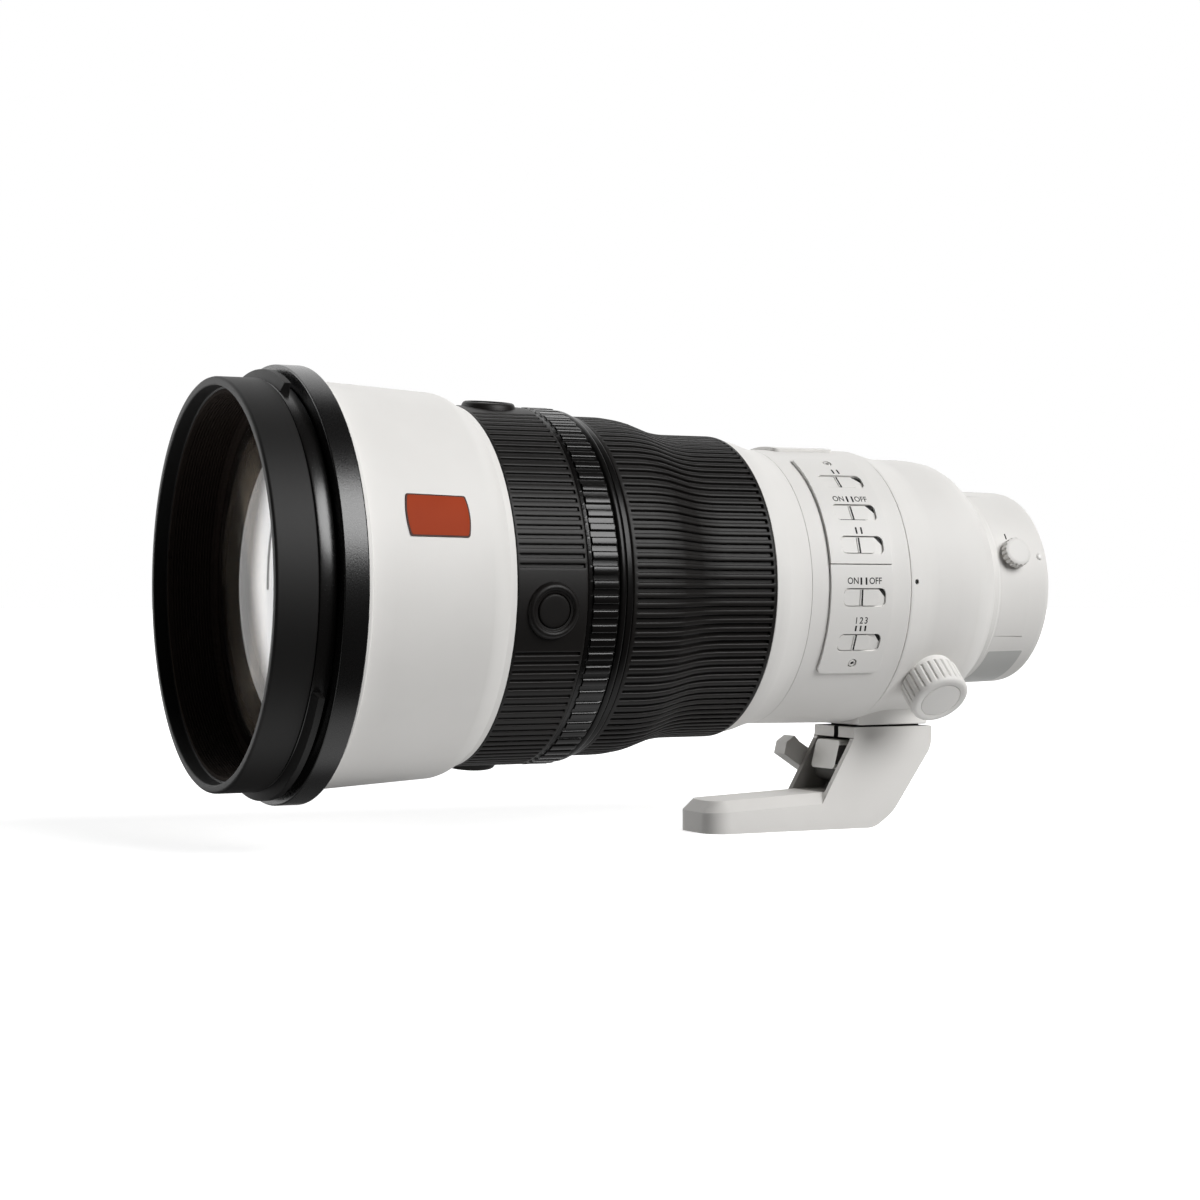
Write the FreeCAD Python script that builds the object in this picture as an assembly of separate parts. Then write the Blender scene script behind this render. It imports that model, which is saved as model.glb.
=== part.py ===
import FreeCAD, Part
import math
import os

# A white telephoto lens on its tripod collar and foot, in millimetres.
# Origin: centre of the camera-mount flange. +X points rearward, to the camera, along the optical axis.
# +Z is up, and the side with the switch panel is -Y.
# An angle on the barrel is 0 at the switch side (-Y) and 90 at the top (+Z).

V = FreeCAD.Vector
ORIGIN = V(0, 0, 0)
X_AXIS = V(1, 0, 0)
Y_AXIS = V(0, 1, 0)
Z_AXIS = V(0, 0, 1)
OUTWARD_AT_TOP = 90.0

# Fits
running_clearance = 0.06
seat_clearance = 0.05
body_gap = 0.3
seam = 0.1

# Shared small sizes: a broken edge, how far fused pieces reach into each other, how far cutters run past
edge_break = 0.4
fuse_overlap = 1.0
cut_past = 1.0
cut_above = 3.0
cut_reach = 20.0
near = 0.1

# Lengths of the barrel sections, from the camera end to the front
flange_proud = 1.0
rear_barrel_length = 22.1
collar_length = 36.5
mid_barrel_length = 34.4
white_ring_length = 13.4
focus_length = 49.4
divider_length = 4.6
function_length = 9.6
grip_length = 21.6
front_barrel_length = 46.4
guard_length = 7.2
guard_to_lugs = 1.9
lug_length = 3.5
rim_skirt_length = 12.0

# Stations along the axis, each from the one behind it
barrel_end_x = -flange_proud
collar_rear_x = barrel_end_x - rear_barrel_length
collar_front_x = collar_rear_x - collar_length
mid_rear_x = collar_front_x - body_gap
mid_front_x = mid_rear_x - mid_barrel_length
white_rear_x = mid_front_x - seam
white_front_x = white_rear_x - white_ring_length
focus_rear_x = white_front_x - body_gap
focus_front_x = focus_rear_x - focus_length
divider_rear_x = focus_front_x - body_gap
divider_front_x = divider_rear_x - divider_length
function_rear_x = divider_front_x - body_gap
function_front_x = function_rear_x - function_length
grip_rear_x = function_front_x - body_gap
grip_front_x = grip_rear_x - grip_length
barrel_rear_x = grip_front_x - seam
barrel_front_x = barrel_rear_x - front_barrel_length
guard_front_x = barrel_front_x - guard_length
lug_rear_x = guard_front_x - guard_to_lugs
lug_front_x = lug_rear_x - lug_length
rim_front_x = lug_front_x - rim_skirt_length

# Front rim and guard ring
rim_radius = 58.4
rim_mouth_radius = 55.7
rim_mouth_depth = 4.0
rim_channel_radius = 57.8
rim_neck_radius = 57.0
rim_edge = 0.5
lug_radius = 60.9
upper_lug_angles = (65.0, 150.5)
lower_lug_angles = (-115.0, -29.5)
rim_tail = 1.3
guard_radius = 62.35
guard_edge = 0.8

# Front glass, its cell and baffle
cell_radius = 55.0
glass_rim = 1.7
glass_lead = 0.5
front_glass_radius = 53.9
front_glass_edge = 4.2
front_glass_curve = 175.0
front_glass_back_curve = 1200.0
front_glass_depth = 19.0
second_glass_radius = 50.0
second_glass_edge = 4.0
second_glass_curve = 160.0
second_glass_back_curve = -800.0
second_glass_depth = 35.0
third_glass_radius = 46.0
third_glass_edge = 4.0
third_glass_curve = 140.0
third_glass_back_curve = -200.0
third_glass_depth = 52.5
lens_side_clearance = 0.1
retainer_thickness = 1.0
retainer_inner_radius = 54.0
retainer_notch_width = 2.2
retainer_notch_depth = 0.6
retainer_notch_count = 3
retainer_notch_angle = 40.0
baffle_steps = 7
baffle_ridge_radius = 53.3
baffle_groove_radius = 54.1
baffle_lip_length = 1.8

# White front barrel
lip_radius = 60.2
lip_length = 1.8
lip_slope = 0.5
valley_radius = 58.5
valley_length = 6.8
barrel_front_radius = 58.1
shoulder_radius = 56.1
shoulder_length = 7.4
shoulder_bulge_length = 0.9
shoulder_bulge_height = 0.55
barrel_rear_radius = 53.0
barrel_rear_lip = 0.7
barrel_rear_drop = 0.1
barrel_step_depth = 12.6
cell_tail_length = 3.4

# Bare badge plate on the front barrel
badge_front_offset = 13.5
badge_length = 17.6
badge_angle = 18.9
badge_span = 12.2
badge_proud = 0.25
badge_recess = 0.5

# Grip with the hold buttons
section_radius = 50.42
section_inner_radius = 47.0
grip_radius = 52.8
grip_rib_pitch = 3.0
grip_groove_width = 0.9
grip_groove_depth = 0.55
grip_end_land = 0.9
button_count = 4
button_angle = -7.8
button_patch_above = 12.3
button_patch_below = 12.3
button_from_grip_rear = 10.6
button_rim_radius = 7.75
button_rim_height = 54.2
button_rim_slope = 0.9
button_cap_radius = 4.85
button_cap_height = 53.95
button_cap_edge = 0.5
button_groove_radius = 5.6
button_groove_depth = 0.7
button_stem_radius = 2.0
button_stem_base = 48.4
button_travel = 0.8

# Function ring and the divider in front of the focus ring
function_radius = 52.9
function_rib_count = 80
function_groove_width = 1.5
function_groove_depth = 0.6
function_step_length = 1.5
function_step_depth = 0.7
function_edge = 0.5
divider_radius = 52.4
divider_second_radius = 51.4
divider_waist_radius = 51.0
divider_first_length = 2.1
divider_first_rise = 1.0
divider_first_fall = 0.9
divider_second_rise = 0.3
divider_second_fall = 0.6
divider_groove_length = 0.4

# Focus ring and its ribbed rubber
focus_front_radius = 50.7
focus_rear_radius = 46.1
focus_front_land = 13.0
focus_neck_length = 16.0
focus_neck_front_pull = 0.45
focus_neck_rear_pull = 0.5
rubber_thickness = 2.4
focus_bore_radius = 42.6
focus_rib_count = 112
focus_groove_width = 1.05
focus_groove_depth = 0.75
focus_groove_end = 1.3
focus_groove_rise = 0.6

# White ring, middle barrel and collar radii
white_front_radius = 45.3
white_shoulder_length = 3.9
white_shoulder_radius = 44.8
white_waist_length = 7.9
white_waist_radius = 43.5
white_rear_radius = 42.45
white_rear_land = 1.6
white_edge = 0.3
white_bore_step = 1.2
mid_front_radius = 42.4
mid_rear_radius = 42.8
mid_edge = 0.9
mid_bore_radius = 38.9
collar_front_radius = 42.3
collar_slope_length = 9.6
collar_mid_radius = 40.4
collar_flat_length = 12.0
collar_ridge_length = 8.0
collar_ridge_radius = 39.5
collar_rear_radius = 33.2
collar_bore_radius = 37.5
collar_lip_length = 7.2
collar_lip_radius = 31.9
index_dot_radius = 0.8
index_dot_depth = 0.4
index_dot_from_front = 2.1
index_dot_angle = 1.8
bush_length = 4.0
bush_inset = 3.0

# Chassis tube that carries the barrel
chassis_radius = 38.0
chassis_bore = 35.5
chassis_flange_length = 4.0
chassis_front_inset = 5.0
land_length = 3.0
spigot_length = 12.0
spigot_radius = 33.4
spigot_bore = 31.0
inner_ring_radius = 27.0
inner_ring_length = 3.0

# Rear barrel
drum_radius = 36.6
drum_clearance = 0.4
drum_wall_length = 14.0
rear_bore = 30.0
rear_band_radius = 31.6
rear_band_length = 3.4
rear_radius_front = 31.1
rear_radius_back = 30.6
rear_band_slope = 0.3
rear_end_edge = 0.5
throat_bore = 28.0
rear_glass_radius = 29.9
rear_glass_edge = 4.0
rear_glass_front_x = -36.0
rear_glass_curve = 90.0
rear_glass_back_curve = -220.0
end_wall_length = 5.6
end_wall_bore = 22.5

# Filter drawer
drawer_angle = 19.0
drawer_front_x = -18.8
drawer_length = 10.6
drawer_clearance = 0.1
drawer_half_width = 23.4
drawer_frame_length = 6.0
drawer_frame_radius = 23.0
drawer_frame_bore = 20.3
drawer_cover_depth = 3.4
drawer_cover_radius = 31.0
drawer_cover_reach = 70.0
drawer_tongue_half_width = 8.0
drawer_slot_bottom = -4.6
filter_radius = 20.25
filter_thickness = 2.0
filter_ledge = 1.2
filter_ledge_width = 1.2
wheel_radius = 4.7
wheel_height = 3.1
wheel_foot = 0.35
wheel_stem_radius = 1.6
wheel_stem_length = 2.4
wheel_stem_gap = 0.3
wheel_flutes = 18
wheel_flute_radius = 0.42
wheel_edge = 0.4

# Camera mount
bayonet_flange_radius = 29.2
bayonet_flange_depth = 2.0
bayonet_bore = 20.0
bayonet_radius = 21.8
bayonet_length = 5.4
bayonet_lug_radius = 23.1
bayonet_lug_front = 2.6
bayonet_lug_length = 1.6
bayonet_lug_span = 38.0
bayonet_lug_count = 3
mount_screw_circle = 25.5
mount_screw_count = 4
mount_screw_angle = 45.0
mount_screw_head_radius = 1.8
mount_screw_head_length = 0.9
mount_screw_radius = 1.0
mount_screw_length = 6.4
mount_screw_socket = 0.7
mount_socket_depth = 0.5
seal_radius = 30.3
seal_length = 0.7
contact_radius_in = 17.2
contact_length = 4.6
contact_front_x = -1.2
contact_span = 56.0
contact_angle = -90.0
contact_pin_count = 10
contact_pin_radius = 0.65
contact_pin_proud = 0.25
baffle_plate_radius = 22.4
baffle_plate_length = 0.9
baffle_window_width = 31.0
baffle_window_height = 22.0

# Switch panel
panel_front_inset = 6.0
panel_length = 21.5
panel_top_angle = 63.5
panel_split_angle = 8.6
panel_bottom_angle = -37.2
panel_outer_proud = 0.5
panel_upper_proud = 0.75
panel_depth = 0.5
panel_gap_angle = 0.06
panel_corner = 2.0
window_inset = 4.3
window_length = 14.7
window_width = 5.6
window_corner = 1.8
well_spare = 0.2
window_angles = (46.9, 30.7, 16.4, -4.6, -23.1)
slider_names = ("focus_mode_switch", "override_switch", "range_switch", "stabiliser_switch", "mode_switch")
slider_lengths = (12.3, 12.3, 12.3, 12.3, 11.1)
slider_side_clearance = 0.08
slider_floor = 40.2
slider_lift = 0.06
slider_top = 42.7
slider_ridge_height = 0.75
slider_ridge_width = 0.55
slider_slot_width = 0.7
slider_slot_depth = 0.5
slider_corner = 1.6
panel_screw_angles = (59.6, -32.4)
panel_screw_from_front = 11.3
panel_screw_radius = 1.15
panel_screw_sink = 0.25
panel_screw_depth = 2.2
panel_screw_socket = 0.45
panel_socket_depth = 0.5
panel_shank_radius = 0.75

# Top function panel, on the far side of the top
top_panel_angle = 104.0
top_panel_span = 52.0
top_panel_inset = 6.5
top_panel_length = 21.0
top_panel_proud = 0.7
top_window_angle = 92.0
set_button_angle = 113.0
set_button_radius = 3.2
set_button_top = 43.7
set_button_base = 40.9
set_button_travel = 0.5

# Focus carriages, iris and stabiliser
rod_radius = 1.5
rod_circle = 31.0
rod_angles = (90.0, 270.0)
rod_end_depth = 1.6
carriage_length = 8.0
carriage_bore = 20.0
carriage_radius = 24.0
carriage_ear_width = 7.0
carriage_ear_radius = 34.2
front_carriage_from_ring = 14.0
rear_carriage_from_ring = 56.0
focus_glass_edge = 3.0
focus_glass_inset = 2.5
focus_glass_ledge = 1.5
focus_glass_curve = 70.0
focus_glass_back_curve = -110.0
iris_length = 3.0
iris_opening = 18.0
blade_count = 11
blade_thickness = 0.3
blade_inner_radius = 19.0
blade_outer_radius = 30.0
blade_gap_angle = 2.0
stage_length = 3.0
stage_radius = 33.6
stage_bore = 20.0
stabiliser_length = 5.6
stabiliser_radius = 26.0
stabiliser_bore = 17.0
stabiliser_ledge = 1.2
stabiliser_glass_length = 3.2
stabiliser_glass_ledge = 1.5
board_length = 24.0
board_thickness = 0.5
board_inset = 1.0
board_width = 22.0
board_angle = 180.0

# Collar boss, foot and foot lever
boss_bottom_z = -43.3
foot_half_width = 12.0
foot_corner = 4.0
foot_lap = 6.0
boss_rear_x = -32.4
boss_top_z = -34.0
pad_thickness = 0.6
pad_inset = 3.0
tenon_length = 10.0
tenon_half_width = 6.0
tenon_depth = 8.0
tenon_from_rear = 6.0
foot_bottom_z = -75.4
arm_front_top_x = -61.0
arm_front_low_x = -70.6
arm_front_low_z = -64.0
arm_kink_z = -50.3
arm_slant_end_x = -46.9
arm_slant_end_z = -70.9
arm_corner = 3.8
heel_x = -53.0
foot_front_x = -111.7
base_front_top_z = -65.8
base_corner = 7.0
base_bevel = 3.3
cavity_top_z = -47.3
cavity_half_width = 9.8
cavity_depth = 11.8
slit_width = 2.6
slit_y = -1.2
lever_pivot_x = -60.0
lever_pivot_z = -57.4
lever_hub_radius = 3.9
lever_hub_half_length = 6.8
lever_shaft_radius = 1.9
lever_shaft_blind = 1.1
tab_half_width = 7.5
tab_front_x = -62.0
tab_rear_x = -57.0
tab_top_z = -48.15
tab_edge = 1.0
wing_inner_y = 12.4
wing_thickness = 6.6
wing_reach = 13.6
wing_angle = 31.0
wing_half_height = 3.2
wing_root = 3.0
wing_flare = 0.4
wing_flare_length = 4.0
wing_tip_height = 4.3
wing_tip_length = 1.5
wing_nose_height = 1.2
wing_heel_length = 1.2
wing_heel_rise = 0.6
quarter_socket_radius = 2.55
quarter_socket_depth = 7.0
quarter_socket_x = -90.0
three_eighths_socket_radius = 3.97
three_eighths_socket_depth = 7.0
three_eighths_socket_x = -72.0

# Lock knob of the collar
knob_x = -45.5
knob_angle = -43.5
knob_radius = 9.3
knob_face_height = 50.9
knob_base_height = 41.8
knob_seat_radius = 8.6
knob_seat_height = 41.5
knob_stem_radius = 3.0
knob_stem_gap = 0.3
knob_flutes = 28
knob_flute_radius = 0.62
knob_flute_top = 2.0
knob_edge = 1.0
knob_disc_radius = 6.6
knob_disc_groove = 0.35


def lathe(points):
    """A solid of revolution about the optical axis, from (x, radius) points."""
    corners = [V(x, r, 0) for x, r in points]
    wire = Part.makePolygon(corners + [corners[0]])
    return Part.Face(wire).revolve(ORIGIN, X_AXIS, 360)


def tube(x0, x1, inner, outer):
    return lathe([(x0, inner), (x1, inner), (x1, outer), (x0, outer)])


def disc(x0, x1, radius):
    return Part.makeCylinder(radius, x1 - x0, V(x0, 0, 0), X_AXIS)


def sector(x0, x1, inner, outer, low_angle, high_angle):
    """A piece of tube between two angles on the barrel."""
    corners = [V(x0, inner, 0), V(x1, inner, 0), V(x1, outer, 0), V(x0, outer, 0)]
    face = Part.Face(Part.makePolygon(corners + [corners[0]]))
    solid = face.revolve(ORIGIN, X_AXIS, high_angle - low_angle)
    solid.rotate(ORIGIN, X_AXIS, 180.0 - high_angle)
    return solid


def to_angle(shape, angle):
    """Turn a shape made at the top of the barrel to its angle; its +Y side faces larger angles."""
    turned = shape.copy()
    turned.rotate(ORIGIN, X_AXIS, OUTWARD_AT_TOP - angle)
    return turned


def box(x0, x1, y0, y1, z0, z1):
    return Part.makeBox(x1 - x0, y1 - y0, z1 - z0, V(x0, y0, z0))


def upright(x, radius, z0, z1, y=0.0):
    return Part.makeCylinder(radius, z1 - z0, V(x, y, z0), Z_AXIS)


def rounded_block(x0, x1, y0, y1, z0, z1, radius):
    """A block with its four upright edges rounded."""
    block = box(x0, x1, y0, y1, z0, z1)
    edges = [e for e in block.Edges if abs(e.tangentAt(e.FirstParameter).z) > 0.99]
    return block.makeFillet(radius, edges)


def lens(edge_front, edge_length, radius, front_curve, back_curve):
    """A glass with a flat rim; a positive curve bulges outward, a negative one is hollow."""
    clear = radius - glass_rim
    edge_back = edge_front + edge_length

    def sag(curve, r):
        depth = abs(curve) - math.sqrt(curve * curve - r * r)
        return math.copysign(depth, curve)

    front_apex = edge_front - sag(front_curve, clear)
    back_apex = edge_back + sag(back_curve, clear)
    half = clear / 2.0
    front_half = V(front_apex + sag(front_curve, half), half, 0)
    back_half = V(back_apex - sag(back_curve, half), half, 0)
    front_arc = Part.Arc(V(front_apex, 0, 0), front_half, V(edge_front, clear, 0)).toShape()
    back_arc = Part.Arc(V(edge_back, clear, 0), back_half, V(back_apex, 0, 0)).toShape()
    rim = Part.makePolygon([V(edge_front, clear, 0), V(edge_front, radius, 0),
                            V(edge_back, radius, 0), V(edge_back, clear, 0)])
    axis = Part.makeLine(V(back_apex, 0, 0), V(front_apex, 0, 0))
    wire = Part.Wire([front_arc] + rim.Edges + [back_arc, axis])
    return Part.Face(wire).revolve(ORIGIN, X_AXIS, 360)


def around(shape, count, first=0.0, step=None):
    """Copies of a shape turned about the optical axis."""
    pitch = 360.0 / count if step is None else step
    copies = []
    for index in range(count):
        turned = shape.copy()
        turned.rotate(ORIGIN, X_AXIS, first + index * pitch)
        copies.append(turned)
    return copies


def flutes(radius, flute_radius, count, z0, z1):
    """Round cutters spaced about the Z axis."""
    cutters = []
    for index in range(count):
        turn = 2 * math.pi * index / count
        centre = V(radius * math.cos(turn), radius * math.sin(turn), z0)
        cutters.append(Part.makeCylinder(flute_radius, z1 - z0, centre, Z_AXIS))
    return cutters


# Stations shared by several pieces
baffle_front_x = rim_front_x + rim_mouth_depth + retainer_thickness
front_glass_x = rim_front_x + front_glass_depth
second_glass_x = rim_front_x + second_glass_depth
third_glass_x = rim_front_x + third_glass_depth
rim_tail_x = barrel_front_x + rim_tail
barrel_step_x = barrel_rear_x - barrel_step_depth
cell_rear_x = barrel_step_x + cell_tail_length
section_rear_x = divider_rear_x
chassis_front_x = barrel_rear_x - chassis_front_inset
drum_front_x = mid_rear_x - seam
drum_rear_x = collar_rear_x - collar_lip_length - drum_clearance
land_radius = focus_bore_radius - running_clearance
white_bore_radius = mid_bore_radius + white_bore_step
button_x = grip_rear_x - button_from_grip_rear
button_cap_base = section_radius + button_travel + body_gap
recess_radius = mid_front_radius - panel_depth
panel_screw_x = mid_front_x + panel_front_inset + panel_screw_from_front
panel_front_x = mid_front_x + panel_front_inset
panel_rear_x = panel_front_x + panel_length
window_front_x = panel_front_x + window_inset
window_rear_x = window_front_x + window_length
top_panel_front_x = mid_front_x + top_panel_inset
top_window_front_x = top_panel_front_x + (top_panel_length - window_length) / 2.0
set_button_x = top_panel_front_x + top_panel_length / 2.0
ring_1_x = chassis_front_x + chassis_flange_length
rear_ring_x = mid_front_x
iris_x = rear_ring_x + inner_ring_length
blade_x = iris_x + iris_length
stage_x = blade_x + blade_thickness + body_gap
stabiliser_x = stage_x + stage_length + body_gap
keeper_x = stabiliser_x + stabiliser_length + body_gap
drawer_rear_x = drawer_front_x + drawer_length
drawer_mid_x = (drawer_front_x + drawer_rear_x) / 2.0
end_wall_x = -bayonet_flange_depth - end_wall_length
foot_top_z = boss_bottom_z - pad_thickness
button_angles = [button_angle + 360.0 / button_count * index for index in range(button_count)]
top_switch_length = slider_lengths[0]


def arm_front_x(z):
    slope = (arm_front_low_x - arm_front_top_x) / (arm_front_low_z - cavity_top_z)
    return arm_front_top_x + slope * (z - cavity_top_z)


def make_front_rim():
    """Bare metal ring that holds the front glass and carries the hood lugs."""
    rim = lathe([
        (rim_front_x, rim_mouth_radius + rim_edge), (rim_front_x, rim_radius - rim_edge),
        (rim_front_x + rim_edge, rim_radius), (lug_front_x - rim_edge, rim_radius),
        (lug_front_x, rim_channel_radius), (lug_rear_x, rim_channel_radius),
        (lug_rear_x, rim_neck_radius), (rim_tail_x, rim_neck_radius),
        (rim_tail_x, cell_radius + seat_clearance),
        (rim_front_x + rim_mouth_depth, cell_radius + seat_clearance),
        (rim_front_x + rim_mouth_depth, rim_mouth_radius),
        (rim_front_x + rim_edge, rim_mouth_radius)])
    for low, high in (upper_lug_angles, lower_lug_angles):
        rim = rim.fuse(sector(lug_front_x, lug_rear_x, rim_neck_radius, lug_radius, low, high))
    return rim.removeSplitter()


def make_guard_ring():
    inner = rim_neck_radius + seat_clearance
    return lathe([
        (guard_front_x, inner), (guard_front_x, guard_radius - guard_edge),
        (guard_front_x + guard_edge, guard_radius), (barrel_front_x - guard_edge, guard_radius),
        (barrel_front_x, guard_radius - guard_edge), (barrel_front_x, inner)])


def make_front_baffle():
    """Stepped ring in front of the glass; its rear lip holds the glass."""
    lip_x = front_glass_x - baffle_lip_length
    pitch = (lip_x - baffle_front_x) / baffle_steps
    points = [(baffle_front_x, cell_radius)]
    for index in range(baffle_steps):
        start = baffle_front_x + index * pitch
        ridge_end = start + pitch / 3.0
        points.append((start, baffle_ridge_radius))
        points.append((ridge_end, baffle_ridge_radius))
        points.append((ridge_end, baffle_groove_radius))
        points.append((start + pitch, baffle_groove_radius))
    clear = front_glass_radius - glass_rim + seat_clearance
    points.append((lip_x, clear + seat_clearance))
    points.append((front_glass_x, clear))
    points.append((front_glass_x, cell_radius))
    return lathe(points)


def make_front_retainer():
    ring = tube(rim_front_x + rim_mouth_depth, baffle_front_x, retainer_inner_radius, cell_radius)
    notch = box(rim_front_x, baffle_front_x + seam, -retainer_notch_width / 2.0,
                retainer_notch_width / 2.0, 0, retainer_inner_radius + retainer_notch_depth)
    return ring.cut(Part.makeCompound(around(notch, retainer_notch_count, retainer_notch_angle)))


def make_front_cell():
    """Metal tube with a stepped bore for the three front glasses."""
    front_seat = front_glass_x + front_glass_edge
    second_seat = second_glass_x + second_glass_edge
    third_seat = third_glass_x + third_glass_edge
    front_bore = front_glass_radius + lens_side_clearance
    second_bore = second_glass_radius + lens_side_clearance
    third_bore = third_glass_radius + lens_side_clearance
    ledge = glass_rim - seat_clearance
    return lathe([
        (front_glass_x, front_bore), (front_glass_x, cell_radius),
        (barrel_step_x, cell_radius), (barrel_step_x, section_radius),
        (cell_rear_x, section_radius), (cell_rear_x, third_glass_radius - ledge),
        (third_seat, third_glass_radius - ledge), (third_seat, third_bore),
        (third_glass_x - glass_lead, third_bore),
        (third_glass_x - glass_lead, second_glass_radius - ledge),
        (second_seat, second_glass_radius - ledge), (second_seat, second_bore),
        (second_glass_x - glass_lead, second_bore),
        (second_glass_x - glass_lead, front_glass_radius - ledge),
        (front_seat, front_glass_radius - ledge), (front_seat, front_bore)])


def make_front_barrel():
    """White front barrel: lip, shallow valley, slow taper and a rounded shoulder."""
    valley_x = barrel_front_x + lip_length
    taper_x = barrel_front_x + valley_length
    shoulder_x = barrel_rear_x - shoulder_length
    lip_x = barrel_rear_x - barrel_rear_lip
    middle = V((shoulder_x + lip_x) / 2.0 + shoulder_bulge_length,
               (shoulder_radius + barrel_rear_radius) / 2.0 + shoulder_bulge_height, 0)
    shoulder = Part.Arc(V(shoulder_x, shoulder_radius, 0), middle, V(lip_x, barrel_rear_radius, 0))
    inner = cell_radius + seat_clearance
    front = Part.makePolygon([
        V(barrel_rear_x, section_radius + seat_clearance, 0),
        V(barrel_step_x, section_radius + seat_clearance, 0),
        V(barrel_step_x, inner, 0), V(rim_tail_x, inner, 0),
        V(rim_tail_x, rim_neck_radius + seat_clearance, 0),
        V(barrel_front_x, rim_neck_radius + seat_clearance, 0),
        V(barrel_front_x, lip_radius - edge_break, 0), V(barrel_front_x + edge_break, lip_radius, 0),
        V(valley_x - lip_slope, lip_radius, 0), V(valley_x, valley_radius, 0),
        V(taper_x, barrel_front_radius, 0), V(shoulder_x, shoulder_radius, 0)])
    back = Part.makePolygon([
        V(lip_x, barrel_rear_radius, 0), V(barrel_rear_x, barrel_rear_radius - barrel_rear_drop, 0),
        V(barrel_rear_x, section_radius + seat_clearance, 0)])
    wire = Part.Wire(front.Edges + [shoulder.toShape()] + back.Edges)
    barrel = Part.Face(wire).revolve(ORIGIN, X_AXIS, 360)
    return barrel.cut(badge_solid(badge_recess, cut_above))


def badge_solid(depth, proud):
    """Slightly curved block that follows the front barrel, bowed at its two ends."""
    front = barrel_front_x + badge_front_offset
    rear = front + badge_length
    slope = (shoulder_radius - barrel_front_radius) / (front_barrel_length - valley_length - shoulder_length)
    start = barrel_front_x + valley_length

    def skin(x):
        return barrel_front_radius + slope * (x - start)

    corners = [V(front, skin(front) - depth, 0), V(rear, skin(rear) - depth, 0),
               V(rear, skin(rear) + proud, 0), V(front, skin(front) + proud, 0)]
    face = Part.Face(Part.makePolygon(corners + [corners[0]]))
    solid = face.revolve(ORIGIN, X_AXIS, badge_span)
    solid.rotate(ORIGIN, X_AXIS, 180.0 - badge_angle - badge_span / 2.0)
    return solid


def make_button_section():
    """Black tube under the grip and the function ring, with the button wells."""
    section = tube(cell_rear_x, section_rear_x, section_inner_radius, section_radius)
    well = upright(button_x, button_stem_radius + running_clearance, section_inner_radius - cut_above,
                   section_radius + cut_past)
    for angle in button_angles:
        section = section.cut(to_angle(well, angle))
    return section


def make_button_grip():
    """Ribbed grip cover with a plain patch and a raised rim at each hold button."""
    inner = section_radius + seat_clearance
    cover = lathe([
        (grip_front_x, inner), (grip_front_x, grip_radius - edge_break),
        (grip_front_x + edge_break, grip_radius), (grip_rear_x - edge_break, grip_radius),
        (grip_rear_x, grip_radius - edge_break), (grip_rear_x, inner)])
    groove = box(grip_front_x + grip_end_land, grip_rear_x - grip_end_land,
                 -grip_groove_width / 2.0, grip_groove_width / 2.0,
                 grip_radius - grip_groove_depth, grip_radius + cut_past)
    cutters = []
    plain = button_patch_above + button_patch_below
    ribbed = 360.0 / button_count - plain
    grooves = int(ribbed / grip_rib_pitch) + 1
    margin = (ribbed - (grooves - 1) * grip_rib_pitch) / 2.0
    for angle in button_angles:
        for index in range(grooves):
            cutters.append(to_angle(groove, angle + button_patch_above + margin + index * grip_rib_pitch))
    cover = cover.cut(Part.makeCompound(cutters))
    rim = Part.makeCone(button_rim_radius, button_rim_radius - button_rim_slope / 2.0,
                        button_rim_height - section_radius,
                        V(button_x, 0, section_radius), Z_AXIS)
    well = upright(button_x, button_cap_radius + running_clearance, 0, button_rim_height + cut_past)
    recess = upright(button_x, button_groove_radius, button_rim_height - button_groove_depth,
                     button_rim_height + cut_past)
    core = disc(grip_front_x, grip_rear_x, inner)
    for angle in button_angles:
        cover = cover.fuse(to_angle(rim, angle).cut(core))
    for angle in button_angles:
        cover = cover.cut(to_angle(well.fuse(recess), angle))
    return cover.removeSplitter()


def make_hold_button():
    """Round cap on a stem, made at the top of the barrel."""
    cap = upright(button_x, button_cap_radius, button_cap_base, button_cap_height)
    top_edges = [e for e in cap.Edges if e.BoundBox.ZMin > button_cap_height - near]
    cap = cap.makeFillet(button_cap_edge, top_edges)
    return cap.fuse(upright(button_x, button_stem_radius, button_stem_base, button_cap_base))


def make_function_ring():
    inner = section_radius + running_clearance
    step_x = function_front_x + function_step_length
    ring = lathe([
        (function_front_x, inner), (function_front_x, function_radius - function_step_depth),
        (step_x, function_radius - function_step_depth), (step_x, function_radius),
        (function_rear_x - function_edge, function_radius),
        (function_rear_x, function_radius - function_edge),
        (function_rear_x, inner)])
    groove = box(step_x - seam, function_rear_x + seam, -function_groove_width / 2.0,
                 function_groove_width / 2.0, function_radius - function_groove_depth,
                 function_radius + cut_past)
    return ring.cut(Part.makeCompound(around(groove, function_rib_count)))


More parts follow.
